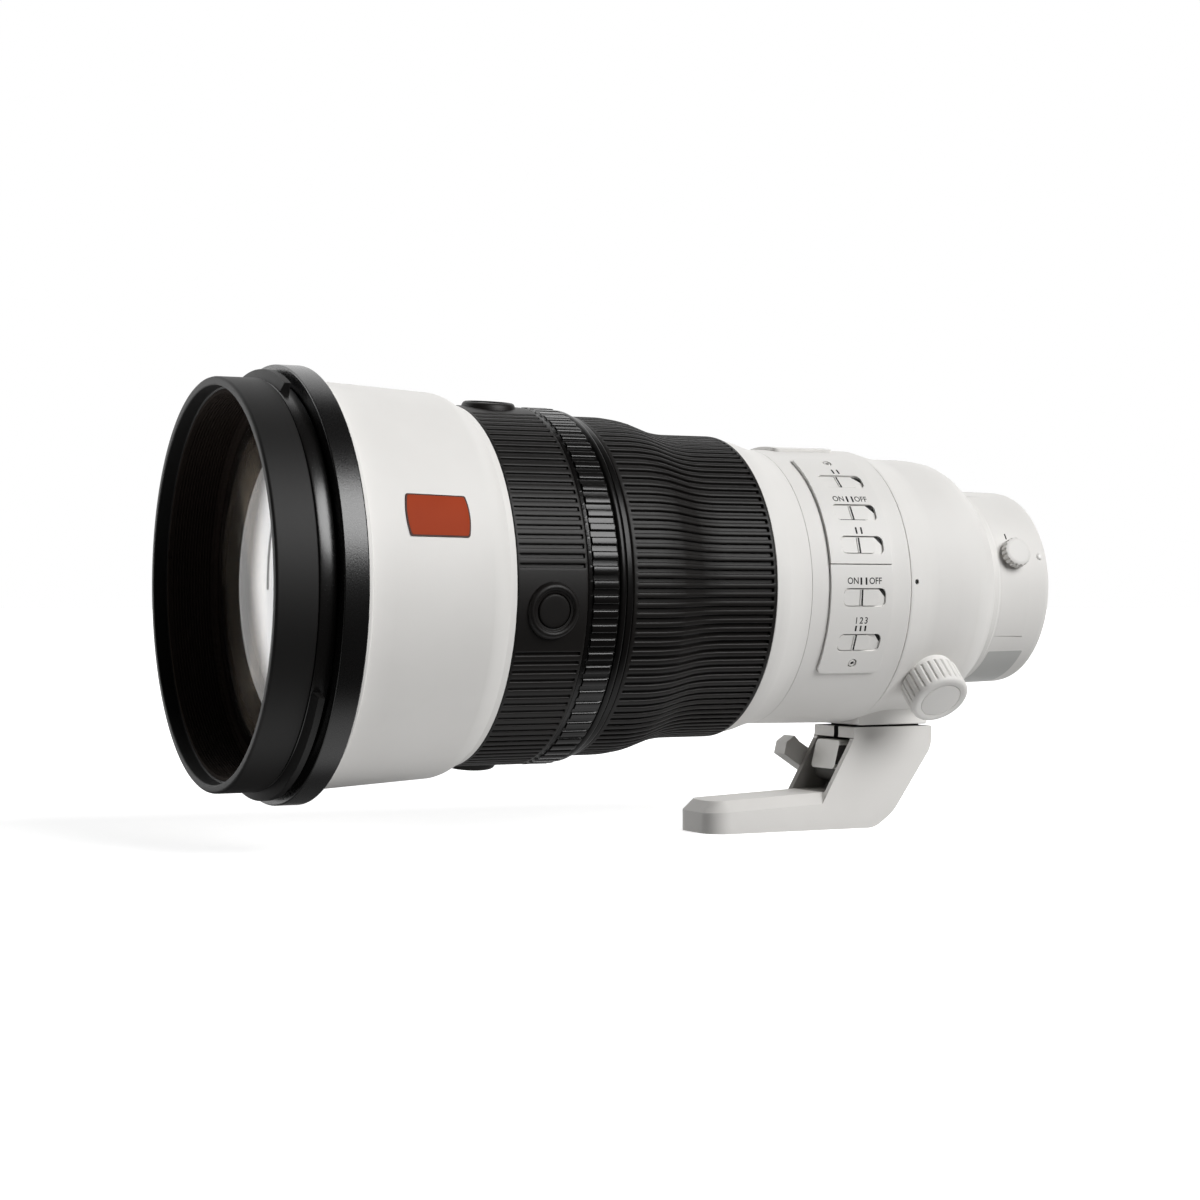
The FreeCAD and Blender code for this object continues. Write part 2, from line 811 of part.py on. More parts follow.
def make_divider_ring():
    """Two rounded shiny beads between the function ring and the focus ring."""
    first_end = divider_front_x + divider_first_length
    inner = section_radius + seat_clearance
    second_start = first_end + divider_groove_length
    first_corners = (V(divider_front_x, divider_radius - divider_first_rise, 0),
                     V(first_end, divider_radius - divider_first_fall, 0))
    second_corners = (V(second_start, divider_second_radius - divider_second_rise, 0),
                      V(divider_rear_x, divider_second_radius - divider_second_fall, 0))
    first_crown = V((divider_front_x + first_end) / 2.0, divider_radius, 0)
    second_crown = V((second_start + divider_rear_x) / 2.0, divider_second_radius, 0)
    first = Part.Arc(first_corners[0], first_crown, first_corners[1]).toShape()
    second = Part.Arc(second_corners[0], second_crown, second_corners[1]).toShape()
    middle = Part.makePolygon([first_corners[1], V(first_end, divider_waist_radius, 0),
                               V(second_start, divider_waist_radius, 0), second_corners[0]])
    base = Part.makePolygon([second_corners[1], V(divider_rear_x, inner, 0),
                             V(divider_front_x, inner, 0), first_corners[0]])
    wire = Part.Wire([first] + middle.Edges + [second] + base.Edges)
    return Part.Face(wire).revolve(ORIGIN, X_AXIS, 360)


def focus_edges(drop):
    """Outer line of the focus rubber from front to rear, lowered by a depth."""
    neck_start = focus_front_x + focus_front_land
    neck_end = neck_start + focus_neck_length
    high = focus_front_radius - drop
    low = focus_rear_radius - drop
    front = Part.makeLine(V(focus_front_x, high, 0), V(neck_start, high, 0))
    poles = [V(neck_start, high, 0), V(neck_start + focus_neck_length * focus_neck_front_pull, high, 0),
             V(neck_end - focus_neck_length * focus_neck_rear_pull, low, 0), V(neck_end, low, 0)]
    neck = Part.BezierCurve()
    neck.setPoles(poles)
    rear = Part.makeLine(V(neck_end, low, 0), V(focus_rear_x, low, 0))
    return [front, neck.toShape(), rear]


def focus_shell(top_drop, bottom_drop, margin):
    """Sleeve between two lines that follow the rubber's waist."""
    top = focus_edges(top_drop)
    bottom = focus_edges(bottom_drop)
    ends = []
    for x, radius in ((focus_front_x, focus_front_radius), (focus_rear_x, focus_rear_radius)):
        ends.append(Part.makeLine(V(x, radius - top_drop, 0), V(x, radius - bottom_drop, 0)))
    wire = Part.Wire(Part.__sortEdges__(top + bottom + ends))
    shell = Part.Face(wire).revolve(ORIGIN, X_AXIS, 360)
    if margin > 0:
        keep = disc(focus_front_x + margin, focus_rear_x - margin, focus_front_radius + cut_above)
        shell = shell.common(keep)
    return shell


def make_focus_ring():
    """Metal core of the focus ring, running on two lands of the chassis."""
    drop = focus_rear_radius - focus_bore_radius
    core = focus_shell(rubber_thickness + seat_clearance, drop, 0.0)
    web_radius = focus_front_radius - (rubber_thickness + drop) / 2.0
    front_web = tube(focus_front_x, focus_front_x + land_length, focus_bore_radius, web_radius)
    return core.fuse(front_web).removeSplitter()


def make_focus_grip():
    """Rubber sleeve with long axial grooves that follow its waist."""
    rubber = focus_shell(0.0, rubber_thickness, 0.0)
    shell = focus_shell(-focus_groove_rise, focus_groove_depth, focus_groove_end)
    blade = box(focus_front_x, focus_rear_x, -focus_groove_width / 2.0, focus_groove_width / 2.0,
                focus_rear_radius - rubber_thickness, focus_front_radius + cut_past)
    groove = shell.common(blade)
    return rubber.cut(Part.makeCompound(around(groove, focus_rib_count)))


def make_white_ring():
    inner = land_radius + seat_clearance
    ledge_x = white_front_x + land_length
    return lathe([
        (white_front_x, inner), (white_front_x, white_front_radius - white_edge),
        (white_front_x + edge_break, white_front_radius),
        (white_front_x + white_shoulder_length, white_shoulder_radius),
        (white_front_x + white_waist_length, white_waist_radius),
        (white_rear_x - white_rear_land, white_rear_radius), (white_rear_x, white_rear_radius),
        (white_rear_x, white_bore_radius), (ledge_x, white_bore_radius), (ledge_x, inner)])


def panel_pockets():
    """Wells under the switch windows, one for each slider, and for the top panel's controls."""
    pockets = []
    half = window_width / 2.0
    well_top = mid_rear_radius + cut_above
    well = box(window_front_x, window_rear_x, -half, half, slider_floor, well_top)
    for angle in window_angles:
        pockets.append(to_angle(well, angle))
    shift = top_window_front_x - window_front_x
    top_well = well.copy()
    top_well.translate(V(shift, 0, 0))
    pockets.append(to_angle(top_well, top_window_angle))
    set_well = upright(set_button_x, set_button_radius + running_clearance,
                       set_button_base - set_button_travel - well_spare, well_top)
    pockets.append(to_angle(set_well, set_button_angle))
    hole = upright(panel_screw_x, panel_shank_radius + seat_clearance,
                   mid_rear_radius - panel_screw_depth - well_spare, well_top)
    for angle in panel_screw_angles:
        pockets.append(to_angle(hole, angle))
    return pockets


def make_mid_barrel():
    """White middle barrel that carries the switch panels."""
    barrel = lathe([
        (mid_front_x, mid_bore_radius), (mid_front_x, mid_front_radius),
        (mid_rear_x - mid_edge, mid_rear_radius), (mid_rear_x, mid_rear_radius - mid_edge),
        (mid_rear_x, mid_bore_radius)])
    above = mid_rear_radius + cut_above
    recess = sector(panel_front_x, panel_rear_x, recess_radius, above, panel_bottom_angle, panel_top_angle)
    half_span = top_panel_span / 2.0
    top_recess = sector(top_panel_front_x, top_panel_front_x + top_panel_length, recess_radius, above,
                        top_panel_angle - half_span, top_panel_angle + half_span)
    return barrel.cut([recess, top_recess] + panel_pockets())


def window_cutter(angle, front_x):
    half = window_width / 2.0
    cutter = rounded_block(front_x, front_x + window_length, -half, half, slider_floor,
                           mid_rear_radius + cut_above, window_corner)
    return to_angle(cutter, angle)


def panel_plate(front_x, length, low_angle, high_angle, proud, rounded_low, rounded_high):
    """Curved plate in a recess of the middle barrel, with rounded outer corners."""
    outer = mid_rear_radius + proud
    plate = sector(front_x, front_x + length, recess_radius, outer, low_angle, high_angle)
    chosen = []
    for edge in plate.Edges:
        along_axis = edge.BoundBox.XLength > near
        through_wall = abs(edge.Length - (outer - recess_radius)) < near
        if along_axis or not through_wall:
            continue
        middle = edge.CenterOfMass
        low_end = abs(math.degrees(math.atan2(middle.z, -middle.y)) - low_angle) < near
        if (low_end and rounded_low) or (not low_end and rounded_high):
            chosen.append(edge)
    return plate.makeFillet(panel_corner, chosen)


def screw_hole(angle):
    shank = upright(panel_screw_x, panel_screw_radius, recess_radius - cut_past,
                    mid_rear_radius + cut_above)
    return to_angle(shank, angle)


def make_upper_panel():
    plate = panel_plate(panel_front_x, panel_length, panel_split_angle + panel_gap_angle, panel_top_angle,
                        panel_upper_proud, False, True)
    cutters = [window_cutter(angle, window_front_x) for angle in window_angles[:3]]
    return plate.cut(cutters + [screw_hole(panel_screw_angles[0])])


def make_lower_panel():
    plate = panel_plate(panel_front_x, panel_length, panel_bottom_angle, panel_split_angle - panel_gap_angle,
                        panel_outer_proud, True, False)
    cutters = [window_cutter(angle, window_front_x) for angle in window_angles[3:]]
    return plate.cut(cutters + [screw_hole(panel_screw_angles[1])])


def make_panel_screws():
    """Two small round-head screws that hold the switch panels."""
    screws = []
    prouds = (panel_upper_proud, panel_outer_proud)
    for angle, proud in zip(panel_screw_angles, prouds):
        top = mid_rear_radius + proud - panel_screw_sink
        head = upright(panel_screw_x, panel_screw_radius - seat_clearance, recess_radius, top)
        shank = upright(panel_screw_x, panel_shank_radius, mid_rear_radius - panel_screw_depth,
                        recess_radius)
        socket = upright(panel_screw_x, panel_screw_socket, top - panel_socket_depth, top + cut_past)
        screws.append(to_angle(head.fuse(shank).cut(socket), angle))
    return Part.makeCompound(screws)


def make_slider(length, front_x):
    """Slide switch: an oblong body with a raised rib and a slot beside it."""
    half = window_width / 2.0 - slider_side_clearance
    start = front_x + slider_side_clearance
    middle = start + length / 2.0
    body = rounded_block(start, start + length, -half, half, slider_floor + slider_lift, slider_top,
                         slider_corner)
    rib = box(middle - slider_ridge_width, middle, -half, half, slider_top - fuse_overlap,
              slider_top + slider_ridge_height)
    slot = box(middle, middle + slider_slot_width, -half - cut_past, half + cut_past,
               slider_top - slider_slot_depth, slider_top + slider_ridge_height + cut_past)
    return body.fuse(rib).cut(slot)


def make_top_panel():
    half_span = top_panel_span / 2.0
    plate = panel_plate(top_panel_front_x, top_panel_length, top_panel_angle - half_span,
                        top_panel_angle + half_span, top_panel_proud, True, True)
    button_hole = upright(set_button_x, set_button_radius + running_clearance, slider_floor,
                          mid_rear_radius + cut_above)
    return plate.cut([window_cutter(top_window_angle, top_window_front_x),
                      to_angle(button_hole, set_button_angle)])


def make_set_button():
    cap = upright(set_button_x, set_button_radius, set_button_base, set_button_top)
    return to_angle(cap, set_button_angle)


def make_chassis_tube():
    """Main structural tube: lands for the focus ring, flanges for the barrels, rings for the rods."""
    front_flange = section_inner_radius - seat_clearance
    barrel_flange = mid_bore_radius - seat_clearance
    white_flange = white_bore_radius - seat_clearance
    pieces = [tube(chassis_front_x, drum_front_x, chassis_bore, chassis_radius)]
    under = chassis_radius - fuse_overlap
    pieces.append(tube(chassis_front_x, chassis_front_x + chassis_flange_length, under, front_flange))
    pieces.append(tube(focus_front_x, focus_front_x + land_length, under, land_radius))
    pieces.append(tube(focus_rear_x - land_length, focus_rear_x, under, land_radius))
    pieces.append(tube(white_front_x, white_front_x + land_length - seam, under, land_radius))
    pieces.append(tube(white_rear_x - land_length, white_rear_x, under, white_flange))
    pieces.append(tube(mid_front_x, mid_front_x + land_length, under, barrel_flange))
    pieces.append(tube(mid_rear_x - land_length, mid_rear_x, under, barrel_flange))
    inner = chassis_bore + fuse_overlap
    for x in (ring_1_x, rear_ring_x, keeper_x):
        pieces.append(tube(x, x + inner_ring_length, inner_ring_radius, inner))
    pieces.append(tube(drum_front_x - land_length, drum_front_x, spigot_bore, inner))
    pieces.append(tube(drum_front_x - fuse_overlap, drum_front_x + spigot_length, spigot_bore,
                       spigot_radius))
    body = pieces[0].fuse(pieces[1:])
    hole = Part.makeCylinder(rod_radius + seat_clearance,
                             rear_ring_x + rod_end_depth - ring_1_x - inner_ring_length + rod_end_depth,
                             V(ring_1_x + inner_ring_length - rod_end_depth, 0, rod_circle), X_AXIS)
    for angle in rod_angles:
        body = body.cut(to_angle(hole, angle))
    return body.removeSplitter()


def make_guide_rods():
    """Two steel rods the focus carriages run on."""
    start = ring_1_x + inner_ring_length - rod_end_depth + seam
    end = rear_ring_x + rod_end_depth - seam
    rod = Part.makeCylinder(rod_radius, end - start, V(start, 0, rod_circle), X_AXIS)
    return Part.makeCompound([to_angle(rod, angle) for angle in rod_angles])


def make_carriage(x):
    """Ring with two ears that slide on the rods."""
    ring = tube(x, x + carriage_length, carriage_bore, carriage_radius)
    half = carriage_ear_width / 2.0
    ear = box(x, x + carriage_length, -half, half, carriage_radius - fuse_overlap, carriage_ear_radius)
    hole = Part.makeCylinder(rod_radius + running_clearance, carriage_length + 2.0 * cut_past,
                             V(x - cut_past, 0, rod_circle), X_AXIS)
    for angle in rod_angles:
        ring = ring.fuse(to_angle(ear, angle))
    for angle in rod_angles:
        ring = ring.cut(to_angle(hole, angle))
    start = x + focus_glass_inset
    seat = tube(start, start + focus_glass_edge, carriage_bore - cut_past,
                carriage_bore + focus_glass_ledge + lens_side_clearance)
    return ring.cut(seat)


def make_focus_glass(x):
    return lens(x + focus_glass_inset, focus_glass_edge, carriage_bore + focus_glass_ledge,
                focus_glass_curve, focus_glass_back_curve)


def make_iris_base():
    return tube(iris_x, iris_x + iris_length, iris_opening, chassis_bore - seat_clearance)


def make_iris_blades():
    """Eleven blades drawn back to the wide-open position."""
    span = 360.0 / blade_count - blade_gap_angle
    blade = sector(blade_x, blade_x + blade_thickness, blade_inner_radius, blade_outer_radius, 0, span)
    return Part.makeCompound(around(blade, blade_count))


def make_stabiliser_stage():
    """Flat ring that shifts the stabiliser sideways."""
    return tube(stage_x, stage_x + stage_length, stage_bore, stage_radius)


def make_stabiliser_cell():
    """Ring that carries the stabiliser glass against a thin ledge."""
    end = stabiliser_x + stabiliser_length
    ring = tube(stabiliser_x, end, stabiliser_bore, stabiliser_radius)
    seat = tube(stabiliser_x + stabiliser_ledge, end, stabiliser_bore - cut_past,
                stabiliser_bore + stabiliser_glass_ledge + lens_side_clearance)
    return ring.cut(seat)


def make_stabiliser_glass():
    start = stabiliser_x + stabiliser_ledge
    return disc(start, start + stabiliser_glass_length, stabiliser_bore + stabiliser_glass_ledge)


def make_main_board():
    """Flexible circuit board bent round the chassis."""
    half = board_width / 2.0
    low = board_angle - math.degrees(half / chassis_radius)
    high = board_angle + math.degrees(half / chassis_radius)
    x = mid_front_x + land_length + board_inset
    start = chassis_radius + seat_clearance
    return sector(x, x + board_length, start, start + board_thickness, low, high)


def make_rear_barrel():
    """Rear barrel: the drum the collar turns on, then the visible white end."""
    band_x = collar_rear_x + rear_band_length
    glass_seat = rear_glass_front_x + rear_glass_edge
    barrel = lathe([
        (drum_front_x, spigot_radius + seat_clearance), (drum_front_x, drum_radius),
        (drum_rear_x, drum_radius), (drum_rear_x, rear_band_radius),
        (band_x, rear_band_radius), (band_x + rear_band_slope, rear_radius_front),
        (barrel_end_x - rear_end_edge, rear_radius_back), (barrel_end_x, rear_radius_back - rear_end_edge),
        (barrel_end_x, bayonet_flange_radius + seat_clearance),
        (-bayonet_flange_depth, bayonet_flange_radius + seat_clearance),
        (-bayonet_flange_depth, end_wall_bore), (end_wall_x, end_wall_bore),
        (end_wall_x, throat_bore), (glass_seat, throat_bore), (glass_seat, rear_bore),
        (drum_front_x + drum_wall_length, rear_bore),
        (drum_front_x + drum_wall_length, spigot_radius + seat_clearance)])
    wide = drawer_half_width + drawer_clearance
    slot = box(drawer_front_x - drawer_clearance, drawer_rear_x + drawer_clearance, -wide, wide,
               drawer_slot_bottom, rear_band_radius + cut_above)
    barrel = barrel.cut(to_angle(slot, drawer_angle))
    for screw in mount_screw_places():
        barrel = barrel.cut(Part.makeCylinder(mount_screw_radius + seat_clearance,
                                              mount_screw_length + cut_past,
                                              V(-mount_screw_length - cut_past, screw.y, screw.z), X_AXIS))
    return barrel


def make_rear_element():
    return lens(rear_glass_front_x, rear_glass_edge, rear_glass_radius, rear_glass_curve,
                rear_glass_back_curve)


def make_filter_drawer():
    """Round filter frame on a tongue, with the curved cover that closes the slot."""
    frame_x = drawer_mid_x - drawer_frame_length / 2.0
    frame_end = drawer_mid_x + drawer_frame_length / 2.0
    frame = tube(frame_x, frame_end, drawer_frame_bore, drawer_frame_radius)
    ledge = tube(frame_x, frame_x + filter_ledge, drawer_frame_bore - filter_ledge_width,
                 drawer_frame_bore + fuse_overlap)
    skin = sector(drawer_front_x, drawer_rear_x, drawer_cover_radius - drawer_cover_depth,
                  drawer_cover_radius, OUTWARD_AT_TOP - drawer_cover_reach,
                  OUTWARD_AT_TOP + drawer_cover_reach)
    keep = box(drawer_front_x - cut_past, drawer_rear_x + cut_past, -drawer_half_width, drawer_half_width,
               0.0, rear_band_radius + cut_above)
    cover = skin.common(keep)
    tongue = box(frame_x, frame_end, -drawer_tongue_half_width, drawer_tongue_half_width,
                 drawer_frame_bore + fuse_overlap, drawer_cover_radius - drawer_cover_depth + fuse_overlap)
    drawer = frame.fuse([ledge, tongue, cover])
    seat = upright(drawer_mid_x, wheel_stem_radius + running_clearance,
                   drawer_cover_radius - wheel_stem_length - wheel_stem_gap,
                   drawer_cover_radius + cut_above)
    return to_angle(drawer.cut(seat).removeSplitter(), drawer_angle)


def make_filter_glass():
    frame_x = drawer_mid_x - drawer_frame_length / 2.0
    start = frame_x + filter_ledge
    return disc(start, start + filter_thickness, filter_radius)


def make_filter_wheel():
    """Small fluted wheel that locks the drawer."""
    base = drawer_cover_radius + wheel_foot
    head = upright(drawer_mid_x, wheel_radius, base, base + wheel_height)
    rims = [e for e in head.Edges if e.BoundBox.ZLength < near]
    head = head.makeChamfer(wheel_edge, rims)
    cutters = flutes(wheel_radius, wheel_flute_radius, wheel_flutes, base - cut_past,
                     base + wheel_height + cut_past)
    for cutter in cutters:
        cutter.translate(V(drawer_mid_x, 0, 0))
    head = head.cut(Part.makeCompound(cutters))
    stem = upright(drawer_mid_x, wheel_stem_radius, drawer_cover_radius - wheel_stem_length,
                   base + fuse_overlap)
    return to_angle(head.fuse(stem), drawer_angle)


def mount_screw_places():
    places = []
    for index in range(mount_screw_count):
        turn = math.radians(mount_screw_angle + index * 360.0 / mount_screw_count)
        places.append(V(0, mount_screw_circle * math.cos(turn), mount_screw_circle * math.sin(turn)))
    return places


def make_bayonet_mount():
    """Metal mount: flange, bayonet tube and its locking lugs."""
    ring = tube(-bayonet_flange_depth, 0.0, bayonet_bore, bayonet_flange_radius)
    ring = ring.fuse(tube(-fuse_overlap, bayonet_length, bayonet_bore, bayonet_radius))
    for index in range(bayonet_lug_count):
        middle = OUTWARD_AT_TOP + index * 360.0 / bayonet_lug_count
        lug = sector(bayonet_lug_front, bayonet_lug_front + bayonet_lug_length,
                     bayonet_radius - fuse_overlap, bayonet_lug_radius,
                     middle - bayonet_lug_span / 2.0, middle + bayonet_lug_span / 2.0)
        ring = ring.fuse(lug)
    for place in mount_screw_places():
        ring = ring.cut(Part.makeCylinder(mount_screw_radius + seat_clearance,
                                          bayonet_flange_depth + 2.0 * cut_past,
                                          V(-bayonet_flange_depth - cut_past, place.y, place.z), X_AXIS))
        ring = ring.cut(Part.makeCylinder(mount_screw_head_radius + seat_clearance,
                                          mount_screw_head_length + cut_past,
                                          V(-mount_screw_head_length, place.y, place.z), X_AXIS))
    return ring.removeSplitter()


def make_mount_screws():
    screws = []
    for place in mount_screw_places():
        head = Part.makeCylinder(mount_screw_head_radius, mount_screw_head_length,
                                 V(-mount_screw_head_length, place.y, place.z), X_AXIS)
        shank = Part.makeCylinder(mount_screw_radius, mount_screw_length - mount_screw_head_length,
                                  V(-mount_screw_length, place.y, place.z), X_AXIS)
        socket = Part.makeCylinder(mount_screw_socket, mount_socket_depth + cut_past,
                                   V(-mount_socket_depth, place.y, place.z), X_AXIS)
        screws.append(head.fuse(shank).cut(socket))
    return Part.makeCompound(screws)


def make_mount_seal():
    return tube(barrel_end_x, barrel_end_x + seal_length, bayonet_flange_radius + seat_clearance,
                seal_radius)


def make_contact_block():
    """Curved block with a row of round contacts facing the camera."""
    half = contact_span / 2.0
    block = sector(contact_front_x, contact_front_x + contact_length, contact_radius_in,
                   bayonet_bore - seat_clearance, contact_angle - half, contact_angle + half)
    pitch = contact_span / (contact_pin_count + 1)
    middle_radius = (contact_radius_in + bayonet_bore) / 2.0
    pin = Part.makeCylinder(contact_pin_radius, fuse_overlap + contact_pin_proud,
                            V(contact_front_x + contact_length - fuse_overlap, 0, middle_radius), X_AXIS)
    for index in range(contact_pin_count):
        block = block.fuse(to_angle(pin, contact_angle - half + (index + 1) * pitch))
    return block


def make_rear_baffle():
    """Plate with an oblong window that keeps stray light off the sensor."""
    plate_x = -bayonet_flange_depth - baffle_plate_length
    plate = disc(plate_x, -bayonet_flange_depth, baffle_plate_radius)
    window = box(plate_x - cut_past, cut_past, -baffle_window_width / 2.0, baffle_window_width / 2.0,
                 -baffle_window_height / 2.0, baffle_window_height / 2.0)
    return plate.cut(window)


def make_tripod_collar():
    """Collar ring with the boss for the foot and the seat of the lock knob."""
    slope_x = collar_front_x + collar_slope_length
    flat_x = slope_x + collar_flat_length
    ridge_x = flat_x + collar_ridge_length
    lip_x = collar_rear_x - collar_lip_length
    ring = lathe([
        (collar_front_x, collar_bore_radius), (collar_front_x, collar_front_radius - edge_break),
        (collar_front_x + edge_break, collar_front_radius), (slope_x, collar_mid_radius),
        (flat_x, collar_mid_radius), (ridge_x, collar_ridge_radius),
        (collar_rear_x, collar_rear_radius), (collar_rear_x, collar_lip_radius),
        (lip_x, collar_lip_radius), (lip_x, collar_bore_radius)])
    boss = rounded_block(collar_front_x, boss_rear_x, -foot_half_width, foot_half_width,
                         boss_bottom_z, boss_top_z, foot_corner)
    square_front = box(collar_front_x, collar_front_x + foot_corner + fuse_overlap, -foot_half_width,
                       foot_half_width, boss_bottom_z, boss_top_z)
    pad = box(collar_front_x + pad_inset, boss_rear_x - pad_inset, -foot_half_width + pad_inset,
              foot_half_width - pad_inset, foot_top_z, boss_bottom_z + fuse_overlap)
    tenon_rear = boss_rear_x - tenon_from_rear
    tenon = box(tenon_rear - tenon_length, tenon_rear, -tenon_half_width, tenon_half_width,
                foot_top_z - tenon_depth, foot_top_z + fuse_overlap)
    seat = to_angle(upright(knob_x, knob_seat_radius, collar_bore_radius - cut_past, knob_seat_height),
                    knob_angle)
    bore = disc(collar_front_x - cut_past, lip_x, collar_bore_radius)
    collar = ring.fuse([boss.fuse(square_front), pad, tenon, seat])
    stem = upright(knob_x, knob_stem_radius + running_clearance, collar_bore_radius - cut_past,
                   knob_seat_height + cut_past)
    skin = collar_front_radius + (collar_mid_radius - collar_front_radius) * (
        index_dot_from_front / collar_slope_length)
    dot = upright(collar_front_x + index_dot_from_front, index_dot_radius, skin - index_dot_depth,
                  collar_front_radius + cut_past)
    return collar.cut([bore, to_angle(stem, knob_angle), to_angle(dot, index_dot_angle)]).removeSplitter()


def make_collar_bushes():
    """Two thin slide bands between the collar and the drum."""
    inner = drum_radius + running_clearance
    outer = collar_bore_radius - seat_clearance
    front = collar_front_x + bush_inset
    rear = collar_rear_x - collar_lip_length - bush_inset - bush_length
    return Part.makeCompound([tube(front, front + bush_length, inner, outer),
                              tube(rear, rear + bush_length, inner, outer)])


def make_foot_base():
    """Long base plate of the foot with bevelled upper edges and rounded front corners."""
    rise = (arm_front_low_z - base_front_top_z) / (arm_front_low_x - foot_front_x)
    block = box(foot_front_x, arm_front_low_x + foot_lap, -foot_half_width, foot_half_width,
                foot_bottom_z, arm_front_low_z + foot_lap * rise)
    front_edges = [e for e in block.Edges if abs(e.tangentAt(e.FirstParameter).z) > 0.99
                   and e.CenterOfMass.x < foot_front_x + near]
    block = block.makeFillet(base_corner, front_edges)
    start = foot_front_x - cut_reach
    end = arm_front_low_x + cut_reach
    side = foot_half_width + cut_reach
    outline = [V(start, -side, base_front_top_z - cut_reach * rise),
               V(end, -side, arm_front_low_z + cut_reach * rise), V(end, -side, 0), V(start, -side, 0)]
    lid = Part.Face(Part.makePolygon(outline + [outline[0]])).extrude(V(0, 2.0 * side, 0))
    block = block.cut(lid)
    top_edges = []
    for edge in block.Edges:
        middle = edge.CenterOfMass
        expected = arm_front_low_z + (middle.x - arm_front_low_x) * rise
        if abs(middle.z - expected) < near and middle.x < arm_front_low_x:
            top_edges.append(edge)
    return block.makeChamfer(base_bevel, top_edges)


def make_foot_arm():
    """Arm of the foot, slanted at both faces, with its hollow open to the front."""
    points = [
        (arm_front_top_x, foot_top_z), (arm_front_top_x, cavity_top_z),
        (arm_front_low_x, arm_front_low_z), (arm_front_low_x, foot_bottom_z), (heel_x, foot_bottom_z),
        (arm_slant_end_x, arm_slant_end_z), (boss_rear_x, arm_kink_z), (boss_rear_x, foot_top_z)]
    corners = [V(x, -foot_half_width, z) for x, z in points]
    face = Part.Face(Part.makePolygon(corners + [corners[0]]))
    arm = face.extrude(V(0, 2 * foot_half_width, 0))
    soft = []
    for edge in arm.Edges:
        middle = edge.CenterOfMass
        along_side = abs(abs(middle.y) - foot_half_width) < near
        on_front = middle.x < arm_front_top_x + near and middle.z > arm_front_low_z
        on_rear = middle.x > arm_slant_end_x and middle.z < foot_top_z - near
        if along_side and (on_front or on_rear) and edge.BoundBox.ZLength > near:
            soft.append(edge)
    return arm.makeFillet(arm_corner, soft)


def cavity_cutter():
    """Slanted hollow in the front of the arm."""
    low_z = arm_front_low_z
    points = [
        (arm_front_x(cavity_top_z) - cut_reach, cavity_top_z),
        (arm_front_x(cavity_top_z) + cavity_depth, cavity_top_z),
        (arm_front_x(low_z) + cavity_depth, low_z),
        (arm_front_x(low_z) - cut_reach, low_z)]
    corners = [V(x, -cavity_half_width, z) for x, z in points]
    face = Part.Face(Part.makePolygon(corners + [corners[0]]))
    return face.extrude(V(0, 2 * cavity_half_width, 0))


def make_collar_foot():
    """Foot: base plate and arm in one casting, with the clamp slit and two tripod sockets."""
    foot = make_foot_base().fuse(make_foot_arm()).cut(cavity_cutter())
    tenon_rear = boss_rear_x - tenon_from_rear
    slit = box(arm_front_top_x - cut_past, tenon_rear - tenon_length + fuse_overlap,
               slit_y - slit_width / 2.0, slit_y + slit_width / 2.0,
               cavity_top_z - cut_past, foot_top_z + cut_past)
    socket = box(tenon_rear - tenon_length - seat_clearance, tenon_rear + seat_clearance,
                 -tenon_half_width - seat_clearance, tenon_half_width + seat_clearance,
                 foot_top_z - tenon_depth - seam, foot_top_z + cut_past)
    shaft_start = -cavity_half_width - lever_shaft_blind - seam
    shaft = Part.makeCylinder(lever_shaft_radius + running_clearance,
                              foot_half_width + cut_past - shaft_start,
                              V(lever_pivot_x, shaft_start, lever_pivot_z), Y_AXIS)
    quarter = upright(quarter_socket_x, quarter_socket_radius, foot_bottom_z - cut_past,
                      foot_bottom_z + quarter_socket_depth)
    three_eighths = upright(three_eighths_socket_x, three_eighths_socket_radius,
                            foot_bottom_z - cut_past, foot_bottom_z + three_eighths_socket_depth)
    return foot.cut([slit, socket, shaft, quarter, three_eighths]).removeSplitter()


def make_foot_lever():
    """Clamp lever: tab and hub in the hollow, shaft through the far wall, wing outside it."""
    hub = Part.makeCylinder(lever_hub_radius, 2 * lever_hub_half_length,
                            V(lever_pivot_x, -lever_hub_half_length, lever_pivot_z), Y_AXIS)
    tab = box(tab_front_x, tab_rear_x, -tab_half_width, tab_half_width, lever_pivot_z, tab_top_z)
    front_edges = [e for e in tab.Edges if abs(e.CenterOfMass.x - tab_front_x) < near]
    tab = tab.makeFillet(tab_edge, front_edges)
    shaft_start = -cavity_half_width - lever_shaft_blind
    shaft = Part.makeCylinder(lever_shaft_radius, wing_inner_y + fuse_overlap - shaft_start,
                              V(lever_pivot_x, shaft_start, lever_pivot_z), Y_AXIS)
    tip = -wing_reach
    points = [(wing_root, -wing_half_height), (wing_root, wing_half_height),
              (tip + wing_flare_length, wing_half_height + wing_flare),
              (tip + wing_tip_length, wing_tip_height), (tip, wing_nose_height),
              (tip + wing_heel_length, wing_heel_rise - wing_half_height)]
    corners = [V(x, wing_inner_y, z) for x, z in points]
    wing = Part.Face(Part.makePolygon(corners + [corners[0]])).extrude(V(0, wing_thickness, 0))
    wing.rotate(V(0, wing_inner_y, 0), Y_AXIS, wing_angle)
    wing.translate(V(lever_pivot_x, 0, lever_pivot_z))
    return hub.fuse([tab, shaft, wing]).removeSplitter()


